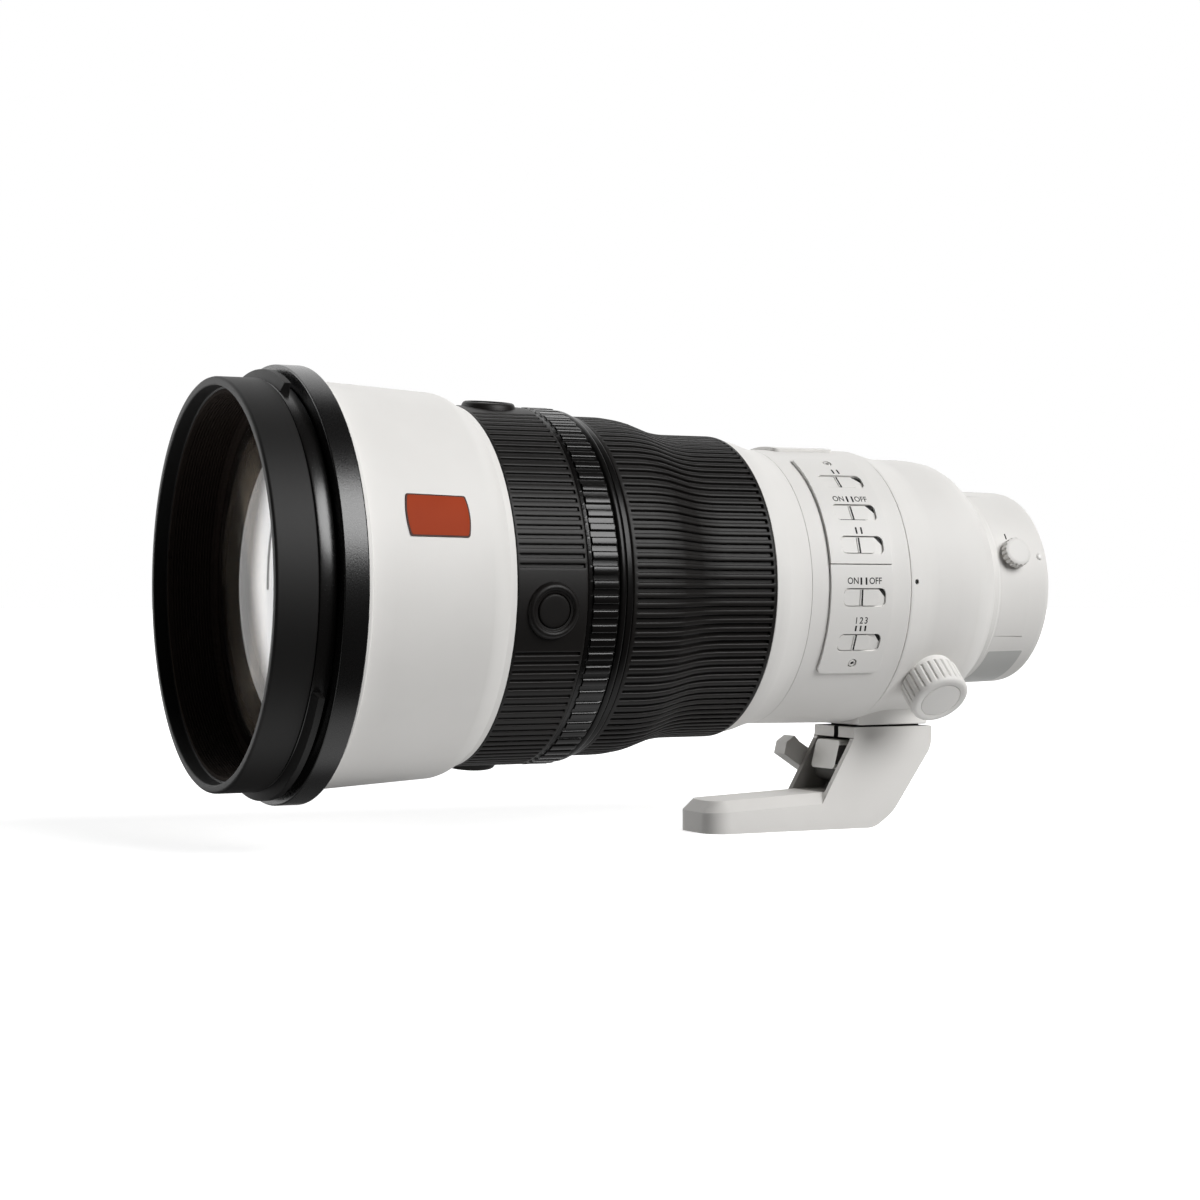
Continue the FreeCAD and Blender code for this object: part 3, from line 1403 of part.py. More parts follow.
def make_lock_knob():
    """Fluted knob on a threaded stem that presses the collar on the drum."""
    head = upright(knob_x, knob_radius, knob_base_height, knob_face_height)
    top_rim = [e for e in head.Edges if e.BoundBox.ZMin > knob_face_height - near]
    head = head.makeFillet(knob_edge, top_rim)
    cutters = flutes(knob_radius, knob_flute_radius, knob_flutes, knob_base_height - cut_past,
                     knob_face_height - knob_flute_top)
    for cutter in cutters:
        cutter.translate(V(knob_x, 0, 0))
    groove_floor = knob_face_height - knob_disc_groove
    groove_top = knob_face_height + cut_past
    groove = upright(knob_x, knob_disc_radius, groove_floor, groove_top).cut(
        upright(knob_x, knob_disc_radius - knob_disc_groove, groove_floor, groove_top))
    stem = upright(knob_x, knob_stem_radius, drum_radius + knob_stem_gap, knob_base_height + fuse_overlap)
    knob = head.cut(Part.makeCompound(cutters)).cut(groove).fuse(stem)
    return to_angle(knob, knob_angle)


def all_pieces():
    pieces = {
        "tripod_collar": make_tripod_collar(),
        "collar_bushes": make_collar_bushes(),
        "collar_foot": make_collar_foot(),
        "foot_lever": make_foot_lever(),
        "lock_knob": make_lock_knob(),
        "front_rim": make_front_rim(),
        "guard_ring": make_guard_ring(),
        "front_baffle": make_front_baffle(),
        "front_retainer": make_front_retainer(),
        "front_cell": make_front_cell(),
        "front_element": lens(front_glass_x, front_glass_edge, front_glass_radius,
                              front_glass_curve, front_glass_back_curve),
        "second_element": lens(second_glass_x, second_glass_edge, second_glass_radius,
                               second_glass_curve, second_glass_back_curve),
        "third_element": lens(third_glass_x, third_glass_edge, third_glass_radius,
                              third_glass_curve, third_glass_back_curve),
        "front_barrel": make_front_barrel(),
        "badge_plate": badge_solid(badge_recess, badge_proud),
        "button_section": make_button_section(),
        "button_grip": make_button_grip(),
        "function_ring": make_function_ring(),
        "divider_ring": make_divider_ring(),
        "focus_ring": make_focus_ring(),
        "focus_grip": make_focus_grip(),
        "white_ring": make_white_ring(),
        "mid_barrel": make_mid_barrel(),
        "upper_panel": make_upper_panel(),
        "lower_panel": make_lower_panel(),
        "panel_screws": make_panel_screws(),
        "top_panel": make_top_panel(),
        "preset_switch": to_angle(make_slider(top_switch_length, top_window_front_x), top_window_angle),
        "set_button": make_set_button(),
        "chassis_tube": make_chassis_tube(),
        "guide_rods": make_guide_rods(),
        "front_focus_carriage": make_carriage(ring_1_x + front_carriage_from_ring),
        "front_focus_glass": make_focus_glass(ring_1_x + front_carriage_from_ring),
        "rear_focus_carriage": make_carriage(ring_1_x + rear_carriage_from_ring),
        "rear_focus_glass": make_focus_glass(ring_1_x + rear_carriage_from_ring),
        "iris_base": make_iris_base(),
        "iris_blades": make_iris_blades(),
        "stabiliser_stage": make_stabiliser_stage(),
        "stabiliser_cell": make_stabiliser_cell(),
        "stabiliser_glass": make_stabiliser_glass(),
        "main_board": make_main_board(),
        "rear_barrel": make_rear_barrel(),
        "rear_element": make_rear_element(),
        "filter_drawer": make_filter_drawer(),
        "filter_glass": make_filter_glass(),
        "filter_wheel": make_filter_wheel(),
        "bayonet_mount": make_bayonet_mount(),
        "mount_screws": make_mount_screws(),
        "mount_seal": make_mount_seal(),
        "contact_block": make_contact_block(),
        "rear_baffle": make_rear_baffle(),
    }
    hold_button = make_hold_button()
    for index, angle in enumerate(button_angles):
        pieces["hold_button_%d" % (index + 1)] = to_angle(hold_button, angle)
    for name, length, angle in zip(slider_names, slider_lengths, window_angles):
        pieces[name] = to_angle(make_slider(length, window_front_x), angle)
    return pieces


os.makedirs("parts", exist_ok=True)
for name, shape in all_pieces().items():
    shape.exportStep("parts/%s.step" % name)
    box_size = shape.BoundBox
    print("%-22s solids %d valid %s volume %.0f x %.2f..%.2f" % (
        name, len(shape.Solids), shape.isValid(), shape.Volume, box_size.XMin, box_size.XMax))
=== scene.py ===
import math
from functools import partial

import bmesh
import bpy
from mathutils import Matrix, Vector


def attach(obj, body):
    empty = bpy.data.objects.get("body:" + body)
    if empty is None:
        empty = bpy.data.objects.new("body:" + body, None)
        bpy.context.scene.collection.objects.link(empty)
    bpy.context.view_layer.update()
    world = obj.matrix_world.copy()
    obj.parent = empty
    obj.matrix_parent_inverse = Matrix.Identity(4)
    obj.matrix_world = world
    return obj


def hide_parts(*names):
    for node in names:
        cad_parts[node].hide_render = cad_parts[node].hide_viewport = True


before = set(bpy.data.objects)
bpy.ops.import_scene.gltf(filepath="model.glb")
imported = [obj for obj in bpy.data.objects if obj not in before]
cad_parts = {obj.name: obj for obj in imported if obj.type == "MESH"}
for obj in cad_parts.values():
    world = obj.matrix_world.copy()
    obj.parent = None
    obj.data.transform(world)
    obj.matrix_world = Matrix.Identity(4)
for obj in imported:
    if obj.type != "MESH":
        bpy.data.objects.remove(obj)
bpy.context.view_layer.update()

# Sizes below are in millimetres, in the frame of the part: +X rearward, +Z up, -Y the switch side.
# An angle on the barrel is 0 at the switch side and 90 at the top.
# An outline is a row of (x, radius) points; a third number is that corner's rounding.
MM = 0.001
TOP = 90.0
FULL = 2.0 * math.pi
RING_STEPS = 256
FIRST_STEPS = 24
DOUBLES = 0.0004
CUT_DOUBLES = 0.0006
LEVEL = 1e-4
SAME = 1e-6


# Finishes

PATCH_SCALE, PATCH_LOW, PATCH_HIGH = 30.0, 0.3, 0.7
GRAIN_DEPTH = 0.0002
COAT_ROUGHNESS = 0.25
SMEAR_SCALE, SMEAR_ROUGHNESS = 60.0, 0.012
FILM_IOR = 1.38


def new_finish(name):
    made = bpy.data.materials.new(name)
    made.use_nodes = True
    return made, made.node_tree, made.node_tree.nodes["Principled BSDF"]


def add(tree, kind, **settings):
    node = tree.nodes.new(kind)
    for key, value in settings.items():
        setattr(node, key, value)
    return node


def object_noise(tree, scale, detail=3.0, roughness=0.6):
    """Noise on object coordinates; returns its factor socket."""
    place = add(tree, "ShaderNodeTexCoord")
    noise = add(tree, "ShaderNodeTexNoise")
    noise.inputs["Scale"].default_value = scale
    noise.inputs["Detail"].default_value = detail
    noise.inputs["Roughness"].default_value = roughness
    tree.links.new(place.outputs["Object"], noise.inputs["Vector"])
    return noise.outputs["Fac"]


def tint(tree, shader, factor, dark, light):
    ramp = add(tree, "ShaderNodeValToRGB")
    for stop, place, tone in zip(ramp.color_ramp.elements, (PATCH_LOW, PATCH_HIGH), (dark, light)):
        stop.position = place
        stop.color = (*tone, 1.0)
    tree.links.new(factor, ramp.inputs["Fac"])
    tree.links.new(ramp.outputs["Color"], shader.inputs["Base Color"])


def vary_roughness(tree, shader, factor, low, high):
    spread = add(tree, "ShaderNodeMapRange")
    spread.inputs["To Min"].default_value = low
    spread.inputs["To Max"].default_value = high
    tree.links.new(factor, spread.inputs["Value"])
    tree.links.new(spread.outputs["Result"], shader.inputs["Roughness"])


def grain(tree, shader, factor, strength):
    bump = add(tree, "ShaderNodeBump")
    bump.inputs["Strength"].default_value = strength
    bump.inputs["Distance"].default_value = GRAIN_DEPTH
    tree.links.new(factor, bump.inputs["Height"])
    tree.links.new(bump.outputs["Normal"], shader.inputs["Normal"])


def solid_finish(name, dark, light, rough, grain_scale, grain_strength, metallic=0.0, specular=0.5, coat=0.0):
    """Paint, metal, plastic or rubber: soft patches of two tones, and a fine grain with its own gloss."""
    made, tree, shader = new_finish(name)
    patches = object_noise(tree, PATCH_SCALE)
    fine = object_noise(tree, grain_scale, 4.0, 0.7)
    tint(tree, shader, patches, dark, light)
    vary_roughness(tree, shader, fine, *rough)
    grain(tree, shader, fine, grain_strength)
    shader.inputs["Metallic"].default_value = metallic
    shader.inputs["Specular IOR Level"].default_value = specular
    shader.inputs["Coat Weight"].default_value = coat
    shader.inputs["Coat Roughness"].default_value = COAT_ROUGHNESS
    return made


def glass_finish(name, tone, ior, film):
    made, tree, shader = new_finish(name)
    vary_roughness(tree, shader, object_noise(tree, SMEAR_SCALE), 0.0, SMEAR_ROUGHNESS)
    shader.inputs["Base Color"].default_value = (*tone, 1.0)
    shader.inputs["Transmission Weight"].default_value = 1.0
    shader.inputs["IOR"].default_value = ior
    shader.inputs["Thin Film Thickness"].default_value = film
    shader.inputs["Thin Film IOR"].default_value = FILM_IOR
    return made


WHITE_PAINT = solid_finish("white_paint", (0.735, 0.722, 0.700), (0.770, 0.757, 0.735), (0.50, 0.64),
                           2600.0, 0.14, specular=0.36)
WHITE_PLASTIC = solid_finish("white_plastic", (0.725, 0.713, 0.692), (0.755, 0.743, 0.720), (0.42, 0.54),
                             3200.0, 0.08, specular=0.36)
# Painted shade: the foot wears the barrel's white paint; this darker copy of it stands in for the shade on
# the foot.
FOOT_SHADED_WHITE = solid_finish("foot_white_painted_shade", (0.570, 0.558, 0.540), (0.605, 0.593, 0.573), (0.50, 0.64),
                          2600.0, 0.16, specular=0.3)
GREY_METAL = solid_finish("grey_lever_metal", (0.66, 0.650, 0.628), (0.71, 0.700, 0.676), (0.45, 0.58),
                          2600.0, 0.08, specular=0.3)
# Painted shade: a darker copy of the lever's grey metal, for the lever's far wing, which lies in shade.
WING_PAINTED_SHADE = solid_finish("grey_wing_painted_shade", (0.36, 0.353, 0.338), (0.41, 0.402, 0.387), (0.45, 0.58),
                          2600.0, 0.08, specular=0.3)
LABEL_GREY = solid_finish("bare_label_grey", (0.47, 0.475, 0.46), (0.52, 0.52, 0.505), (0.42, 0.5),
                          1800.0, 0.03)
BLACK_SATIN = solid_finish("black_satin_metal", (0.0026, 0.0024, 0.0024), (0.0042, 0.0039, 0.0038),
                           (0.24, 0.32), 2200.0, 0.14)
BLACK_RIM = solid_finish("black_rim_metal", (0.0020, 0.0017, 0.0016), (0.0036, 0.0031, 0.0028),
                         (0.54, 0.64), 2600.0, 0.12, specular=0.34)
BLACK_SHINY = solid_finish("black_shiny_channel", (0.0030, 0.0027, 0.0026), (0.0050, 0.0045, 0.0042),
                           (0.22, 0.30), 1800.0, 0.08)
# Black paint of the inner parts; on the foot pad the same black is also a painted shadow in the gap between
# collar and foot.
BLACK_INSIDE_AND_GAP_SHADE = solid_finish("black_inner_paint_and_gap_shade", (0.0260, 0.0200, 0.0170), (0.0400, 0.0310, 0.0260),
                            (0.80, 0.95), 1500.0, 0.1, specular=0.04)
RUBBER = solid_finish("ribbed_rubber", (0.0030, 0.0023, 0.0019), (0.0052, 0.0040, 0.0033), (0.44, 0.56),
                      2400.0, 0.10, specular=0.30)
BLACK_GLOSS = solid_finish("glossy_black", (0.0032, 0.0029, 0.0028), (0.0052, 0.0047, 0.0044), (0.20, 0.30),
                           1600.0, 0.05, specular=0.3, coat=0.06)
BLACK_BEAD = solid_finish("divider_black", (0.0030, 0.0028, 0.0027), (0.0050, 0.0046, 0.0044), (0.24, 0.34),
                          1600.0, 0.05, specular=0.17)
BADGE_RED = solid_finish("badge_brick_red", (0.300, 0.034, 0.006), (0.350, 0.043, 0.008), (0.42, 0.52),
                         1400.0, 0.03, specular=0.06)
BADGE_EDGE = solid_finish("badge_dark_edge", (0.055, 0.022, 0.016), (0.075, 0.030, 0.022), (0.45, 0.55),
                          1400.0, 0.04, specular=0.15)
# Black ink of the printed marks and the index dot; the same black is painted shade in the switch wells, the
# slider grooves, the screw recesses and the foot's slit.
INK_AND_PAINTED_SHADE = solid_finish("black_ink_and_painted_shade", (0.012, 0.012, 0.012), (0.02, 0.02, 0.02), (0.5, 0.6), 2000.0, 0.02,
                        specular=0.3)
# Painted shade for the inside of the foot's hollow, which is the white paint in shade.
CAVITY_PAINTED_SHADE = solid_finish("foot_cavity_painted_shade", (0.190, 0.183, 0.172), (0.240, 0.231, 0.218), (0.6, 0.75),
                           1500.0, 0.08, specular=0.2)
LEVER_SHADE = solid_finish("lever_hub_shade", (0.060, 0.058, 0.054), (0.085, 0.082, 0.076), (0.6, 0.75),
                           1500.0, 0.08, specular=0.2)
STEEL = solid_finish("plain_steel", (0.50, 0.49, 0.47), (0.60, 0.59, 0.57), (0.26, 0.38), 1500.0, 0.05,
                     metallic=1.0)
MOUNT_METAL = solid_finish("mount_bright_metal", (0.60, 0.59, 0.57), (0.70, 0.69, 0.67), (0.20, 0.30),
                           700.0, 0.04, metallic=1.0)
CONTACT_GOLD = solid_finish("contact_gold", (0.62, 0.42, 0.16), (0.72, 0.50, 0.20), (0.22, 0.3), 900.0, 0.03,
                            metallic=1.0)
INNER_METAL = solid_finish("black_anodised", (0.018, 0.018, 0.018), (0.028, 0.027, 0.026), (0.42, 0.55),
                           1500.0, 0.06)
BOARD = solid_finish("board_green", (0.02, 0.09, 0.04), (0.03, 0.12, 0.05), (0.35, 0.5), 400.0, 0.05)
INDEX_WHITE = solid_finish("index_white", (0.80, 0.79, 0.77), (0.83, 0.82, 0.80), (0.28, 0.36), 1500.0, 0.03)
FRONT_GLASS = glass_finish("front_glass", (0.96, 0.96, 0.955), 1.75, 0.0)
COATED_FACE = glass_finish("coated_glass_face", (0.96, 0.965, 0.96), 1.12, 0.0)
INNER_GLASS = glass_finish("inner_glass", (0.95, 0.95, 0.95), 1.5, 110.0)
FILTER_GLASS = glass_finish("filter_glass", (0.95, 0.97, 0.96), 1.5, 250.0)


# Shaping tools

def linked(name, data):
    made = bpy.data.objects.new(name, data)
    bpy.context.scene.collection.objects.link(made)
    return made


def to_mesh(name, bm):
    mesh = bpy.data.meshes.new(name)
    bm.to_mesh(mesh)
    bm.free()
    return mesh


def place_piece(name, bm, body, finish, stands_for=(), sharp=40.0, merge=DOUBLES, weighted=True,
                outward=True):
    """Makes the visible piece; finish may be a list, which the faces' own numbers choose from."""
    bmesh.ops.remove_doubles(bm, verts=bm.verts, dist=merge)
    if outward:
        bmesh.ops.recalc_face_normals(bm, faces=bm.faces)
    bmesh.ops.scale(bm, vec=(MM, MM, MM), verts=bm.verts)
    mesh = to_mesh(name, bm)
    mesh.shade_smooth()
    mesh.set_sharp_from_angle(angle=math.radians(sharp))
    made = linked(name, mesh)
    for one in finish if isinstance(finish, list) else [finish]:
        mesh.materials.append(one)
    if weighted:
        even = made.modifiers.new("even_shading", "WEIGHTED_NORMAL")
        even.keep_sharp = True
        even.weight = 90
    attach(made, body)
    if stands_for:
        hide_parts(*stands_for)
    return made


def whole(bm):
    return bm.verts[:] + bm.edges[:] + bm.faces[:]


def bevel(bm, chosen, width, segments, affect="EDGES", clamp=False):
    bmesh.ops.bevel(bm, geom=chosen, offset=width, offset_type="OFFSET", segments=segments, profile=0.5,
                    affect=affect, material=-1, clamp_overlap=clamp)


def at_angle(bm, angle):
    """Turns what was made at the top of the barrel to its angle."""
    bmesh.ops.transform(bm, matrix=Matrix.Rotation(math.radians(TOP - angle), 4, "X"), verts=bm.verts)
    return bm


def draw_outline(bm, points, soft=0.0, closed=True):
    """Draws an outline at the top of the barrel; soft is the rounding of corners that don't name theirs."""
    corners = [bm.verts.new((point[0], 0.0, point[1])) for point in points]
    followers = corners[1:] + corners[:1] if closed else corners[1:]
    for first, second in zip(corners, followers):
        bm.edges.new((first, second))
    by_rounding = {}
    ends = 0 if closed else 1
    for corner, point in list(zip(corners, points))[ends:len(points) - ends]:
        by_rounding.setdefault(point[2] if len(point) > 2 else soft, []).append(corner)
    for rounding, group in by_rounding.items():
        if rounding > 0:
            bevel(bm, group, rounding, 3 if rounding < 1.0 else 9, "VERTICES", True)


def spin_round(bm, steps=RING_STEPS, axis="X"):
    """Spins a first stretch of the circle, then doubles it until it closes."""
    first = steps
    while first % 2 == 0 and first > FIRST_STEPS:
        first //= 2
    along = (1, 0, 0) if axis == "X" else (0, 0, 1)
    bmesh.ops.spin(bm, geom=bm.verts[:] + bm.edges[:], cent=(0, 0, 0), axis=along,
                   angle=FULL * first / steps, steps=first, use_merge=False)
    done = first
    while done < steps:
        copied = bmesh.ops.duplicate(bm, geom=whole(bm))
        turned_verts = [g for g in copied["geom"] if isinstance(g, bmesh.types.BMVert)]
        bmesh.ops.transform(bm, matrix=Matrix.Rotation(FULL * done / steps, 4, axis), verts=turned_verts)
        done *= 2
    bmesh.ops.remove_doubles(bm, verts=bm.verts, dist=DOUBLES)


def turned(name, body, finish, outline, stands_for=(), soft=0.15, steps=RING_STEPS):
    bm = bmesh.new()
    draw_outline(bm, outline, soft)
    spin_round(bm, steps)
    return place_piece(name, bm, body, finish, stands_for)


def radial_turned(points, x, steps):
    """Outline of (radius, height) points spun about an upright line at x; made at the top."""
    bm = bmesh.new()
    draw_outline(bm, points, closed=False)
    spin_round(bm, steps, "Z")
    bmesh.ops.translate(bm, vec=(x, 0, 0), verts=bm.verts)
    return bm


def ribbed_round(bm, count, cell, reach, turn=0.0):
    """Spins an outline so that each of count cells has the cell's (place, drop) rows; reach scales a drop."""
    rows = len(cell)
    steps = count * rows
    spin_round(bm, steps)
    for vert in bm.verts:
        radius = math.hypot(vert.co.y, vert.co.z)
        step = round(math.atan2(-vert.co.y, vert.co.z) / FULL * steps) % steps
        place, drop = cell[step % rows]
        angle = (step // rows + place) * FULL / count + math.radians(turn)
        radius -= drop * reach(vert.co.x, radius, TOP - math.degrees(angle))
        vert.co.y = -radius * math.sin(angle)
        vert.co.z = radius * math.cos(angle)


def groove(bm, count, least_radius, low, high, depth, power=1.0, fade=0.0):
    """Cuts count waves into an upright wall between two heights; they run out over fade at the top."""
    for vert in bm.verts:
        radius = math.hypot(vert.co.x, vert.co.y)
        if radius > least_radius and low < vert.co.z < high:
            phase = (math.atan2(vert.co.y, vert.co.x) / FULL * count) % 1.0
            wave = max(0.0, math.cos((phase - 0.5) * FULL))
            share = min(1.0, (high - vert.co.z) / fade) if fade > 0 else 1.0
            pull = depth * wave ** power * share / radius
            vert.co.x *= 1.0 - pull
            vert.co.y *= 1.0 - pull


def flat_loop(bm, x0, x1, s0, s1, rounding, corners=(True, True, True, True)):
    """Rounded rectangle in the flat: x along the axis, s round the barrel."""
    made = [bm.verts.new((x, s, 0.0)) for x, s in ((x0, s0), (x1, s0), (x1, s1), (x0, s1))]
    for first, second in zip(made, made[1:] + made[:1]):
        bm.edges.new((first, second))
    chosen = [corner for corner, wanted in zip(made, corners) if wanted]
    if rounding > 0 and chosen:
        bevel(bm, chosen, rounding, 7, "VERTICES", True)


def cut_at(bm, point, normal):
    bmesh.ops.bisect_plane(bm, geom=whole(bm), dist=1e-5, plane_co=point, plane_no=normal)


def fill_flat(bm, cut_step=1.0):
    """Fills the loops, leaving inner ones as holes, and cuts the sheet so that it can bend."""
    bmesh.ops.triangle_fill(bm, edges=bm.edges[:], use_beauty=True, use_dissolve=False, normal=(0, 0, 1))
    low = min(v.co.y for v in bm.verts)
    high = max(v.co.y for v in bm.verts)
    place = math.ceil(low / cut_step) * cut_step
    while place < high - LEVEL:
        if place > low + LEVEL:
            cut_at(bm, (0, place, 0), (0, 1, 0))
        place += cut_step


def extrude(bm, vec):
    made = bmesh.ops.extrude_face_region(bm, geom=bm.faces[:])
    raised = [g for g in made["geom"] if isinstance(g, bmesh.types.BMVert)]
    bmesh.ops.translate(bm, vec=vec, verts=raised)
    bmesh.ops.recalc_face_normals(bm, faces=bm.faces)


def thicken(bm, bottom, top):
    """Gives a flat sheet its wall between two heights."""
    bmesh.ops.translate(bm, vec=(0, 0, bottom), verts=bm.verts)
    extrude(bm, (0, 0, top - bottom))


def soften_top(bm, top, width):
    edges = [e for e in bm.edges if all(abs(v.co.z - top) < LEVEL for v in e.verts)
             and len(e.link_faces) == 2 and e.calc_face_angle(0.0) > 0.9]
    bevel(bm, edges, width, 2, clamp=True)


def soften_sharp(bm, width, segments=2, least=0.6):
    edges = [e for e in bm.edges if len(e.link_faces) == 2 and e.calc_face_angle(0.0) > least]
    bevel(bm, edges, width, segments, clamp=True)


def wrap(bm, reference, radius_at):
    """Bends flat work round the barrel: y becomes an angle at the reference radius, z a height."""
    for vert in bm.verts:
        angle = vert.co.y / reference
        radius = radius_at(vert.co.x) + vert.co.z
        vert.co.y = -radius * math.cos(angle)
        vert.co.z = radius * math.sin(angle)


def tile(x0, x1, low, high, bottom, top, rounding=0.0, corners=(True, True, True, True), soft=0.0,
         reference=43.0, holes=(), hole_rounding=0.0, cut_step=1.0):
    """Curved plate between two angles and two heights (radii), with rounded holes."""
    bm = bmesh.new()
    arc = math.radians(1.0) * reference
    flat_loop(bm, x0, x1, low * arc, high * arc, rounding, corners)
    for hx0, hx1, hlow, hhigh in holes:
        flat_loop(bm, hx0, hx1, hlow * arc, hhigh * arc, hole_rounding)
    fill_flat(bm, cut_step)
    thicken(bm, bottom, top)
    if soft > 0:
        soften_top(bm, top, soft)
    wrap(bm, reference, lambda x: 0.0)
    return bm


def as_cutter(bm):
    bmesh.ops.remove_doubles(bm, verts=bm.verts, dist=DOUBLES)
    bmesh.ops.recalc_face_normals(bm, faces=bm.faces)
    return linked("cutter", to_mesh("cutter", bm))


def combine(bm, others, operation):
    """Adds or takes away other shapes; returns the new shape."""
    base = as_cutter(bm)
    tools = [as_cutter(other) for other in others]
    for tool in tools:
        step = base.modifiers.new("step", "BOOLEAN")
        step.operation = operation
        step.solver = "EXACT"
        step.object = tool
    seen = base.evaluated_get(bpy.context.evaluated_depsgraph_get())
    mesh = bpy.data.meshes.new_from_object(seen)
    result = bmesh.new()
    result.from_mesh(mesh)
    for used in [base] + tools:
        old = used.data
        bpy.data.objects.remove(used)
        bpy.data.meshes.remove(old)
    bpy.data.meshes.remove(mesh)
    bmesh.ops.remove_doubles(result, verts=result.verts, dist=CUT_DOUBLES)
    return result


def merge_flat(bm, degrees):
    """Joins neighbouring faces that lie in one plane."""
    bmesh.ops.dissolve_limit(bm, angle_limit=math.radians(degrees), use_dissolve_boundaries=False,
                             verts=bm.verts, edges=bm.edges, delimit={"NORMAL"})


def node_copy(node):
    bm = bmesh.new()
    bm.from_mesh(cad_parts[node].data)
    bmesh.ops.scale(bm, vec=(1.0 / MM, 1.0 / MM, 1.0 / MM), verts=bm.verts)
    return bm


def dressed(node, body, finish, soft=0.0):
    """A merged copy of a CAD piece with its hard edges softened; it stands for the piece."""
    bm = node_copy(node)
    bmesh.ops.remove_doubles(bm, verts=bm.verts, dist=CUT_DOUBLES)
    merge_flat(bm, 0.4)
    if soft > 0:
        soften_sharp(bm, soft)
    return place_piece("shown_" + node, bm, body, finish, (node,), 38.0, outward=False)


def drum(x, y, radius, z0, z1, soft_top=0.0, segments=48):
    bm = bmesh.new()
    made = bmesh.ops.create_cone(bm, cap_ends=True, cap_tris=False, segments=segments, radius1=radius,
                                 radius2=radius, depth=z1 - z0)
    bmesh.ops.translate(bm, vec=(x, y, (z0 + z1) / 2.0), verts=made["verts"])
    if soft_top > 0:
        bevel(bm, [e for e in bm.edges if all(abs(v.co.z - z1) < LEVEL for v in e.verts)], soft_top, 4)
    return bm


def block(x0, x1, y0, y1, z0, z1):
    bm = bmesh.new()
    made = bmesh.ops.create_cube(bm, size=1.0)
    bmesh.ops.scale(bm, vec=(x1 - x0, y1 - y0, z1 - z0), verts=made["verts"])
    bmesh.ops.translate(bm, vec=((x0 + x1) / 2, (y0 + y1) / 2, (z0 + z1) / 2), verts=made["verts"])
    return bm


def side_prism(points, half):
    """A shape with its outline in the side view, drawn out to both sides; a third number is a rounding."""
    bm = bmesh.new()
    corners = [bm.verts.new((point[0], -half, point[1])) for point in points]
    bm.faces.new(corners)
    for corner, point in zip(corners, points):
        if len(point) > 2:
            bevel(bm, [corner], point[2], 8, "VERTICES")
    extrude(bm, (0, 2 * half, 0))
    return bm


def joined(parts):
    result = bmesh.new()
    for part in parts:
        mesh = to_mesh("part", part)
        result.from_mesh(mesh)
        bpy.data.meshes.remove(mesh)
    return result


# Front rim, guard ring, glass

RIM_OUTLINE = (
    (-265.3, 55.9, 0.5), (-265.3, 58.4, 0.9), (-253.55, 58.4, 0.25), (-253.3, 57.5, 0.1),
    (-249.8, 57.5, 0.3), (-249.8, 57.05), (-239.5, 57.05), (-239.5, 55.1), (-261.3, 55.1),
    (-261.3, 55.7, 0.2))
CHANNEL_OUTLINE = (
    (-253.15, 56.5), (-253.15, 57.95, 0.3), (-250.7, 58.35, 2.2), (-248.2, 57.95, 0.3), (-248.2, 56.5))
GUARD_OUTLINE = ((-247.9, 57.1), (-247.9, 62.33, 0.45), (-240.7, 62.33, 0.5), (-240.7, 57.1))
LUG_X, LUG_RADII = (-253.2, -249.9), (57.0, 60.85)
LUG_ANGLES = ((65.0, 150.5), (-115.0, -29.5))
LUG_CREST, LUG_MIDDLE, LUG_SLANT = 60.3, -252.0, 1.5
RIDGE_START, RIDGE_PITCH, RIDGES = -260.2, 0.86, 14
RIDGE_CELL = ((0.0, 54.05), (0.3, 53.95), (0.4, 54.4), (RIDGE_PITCH - 0.04, 54.4))
BAFFLE_WALL = ((-246.4, 55.0), (-260.3, 55.0))
BAFFLE_END = ((-247.9, 53.6), (-247.3, 53.5), (-247.1, 52.6), (-246.4, 52.3))
GLASS_RIM, GLASS_RINGS, GLASS_STEPS = 1.7, 22, 128


def build_front():
    turned("front_rim_shell", "barrel", BLACK_RIM, RIM_OUTLINE, ("front_rim",))
    turned("front_channel", "barrel", BLACK_SHINY, CHANNEL_OUTLINE)
    lugs = []
    for low, high in LUG_ANGLES:
        lug = tile(*LUG_X, low, high, *LUG_RADII, 0.5, soft=0.4, reference=60.0, cut_step=1.2)
        for vert in lug.verts:
            if math.hypot(vert.co.y, vert.co.z) > LUG_CREST and vert.co.x < LUG_MIDDLE:
                vert.co.x += LUG_SLANT
        lugs.append(lug)
    place_piece("hood_lugs", joined(lugs), "barrel", BLACK_RIM)
    turned("guard_ring_shell", "barrel", BLACK_SATIN, GUARD_OUTLINE, ("guard_ring",))
    ridges = [(RIDGE_START + index * RIDGE_PITCH + x, radius)
              for index in range(RIDGES) for x, radius in RIDGE_CELL]
    turned("inner_baffle", "barrel", BLACK_INSIDE_AND_GAP_SHADE, [*BAFFLE_WALL, *ridges, *BAFFLE_END],
           ("front_baffle",), soft=0.04, steps=200)
    lens_body("front_glass_shape", [FRONT_GLASS, COATED_FACE], -246.3, 4.2, 53.9, 175.0, 1200.0,
              "front_element")
    lens_body("second_glass_shape", INNER_GLASS, -230.3, 4.0, 50.0, 160.0, -800.0, "second_element")
    lens_body("third_glass_shape", INNER_GLASS, -212.8, 4.0, 46.0, 140.0, -200.0, "third_element")


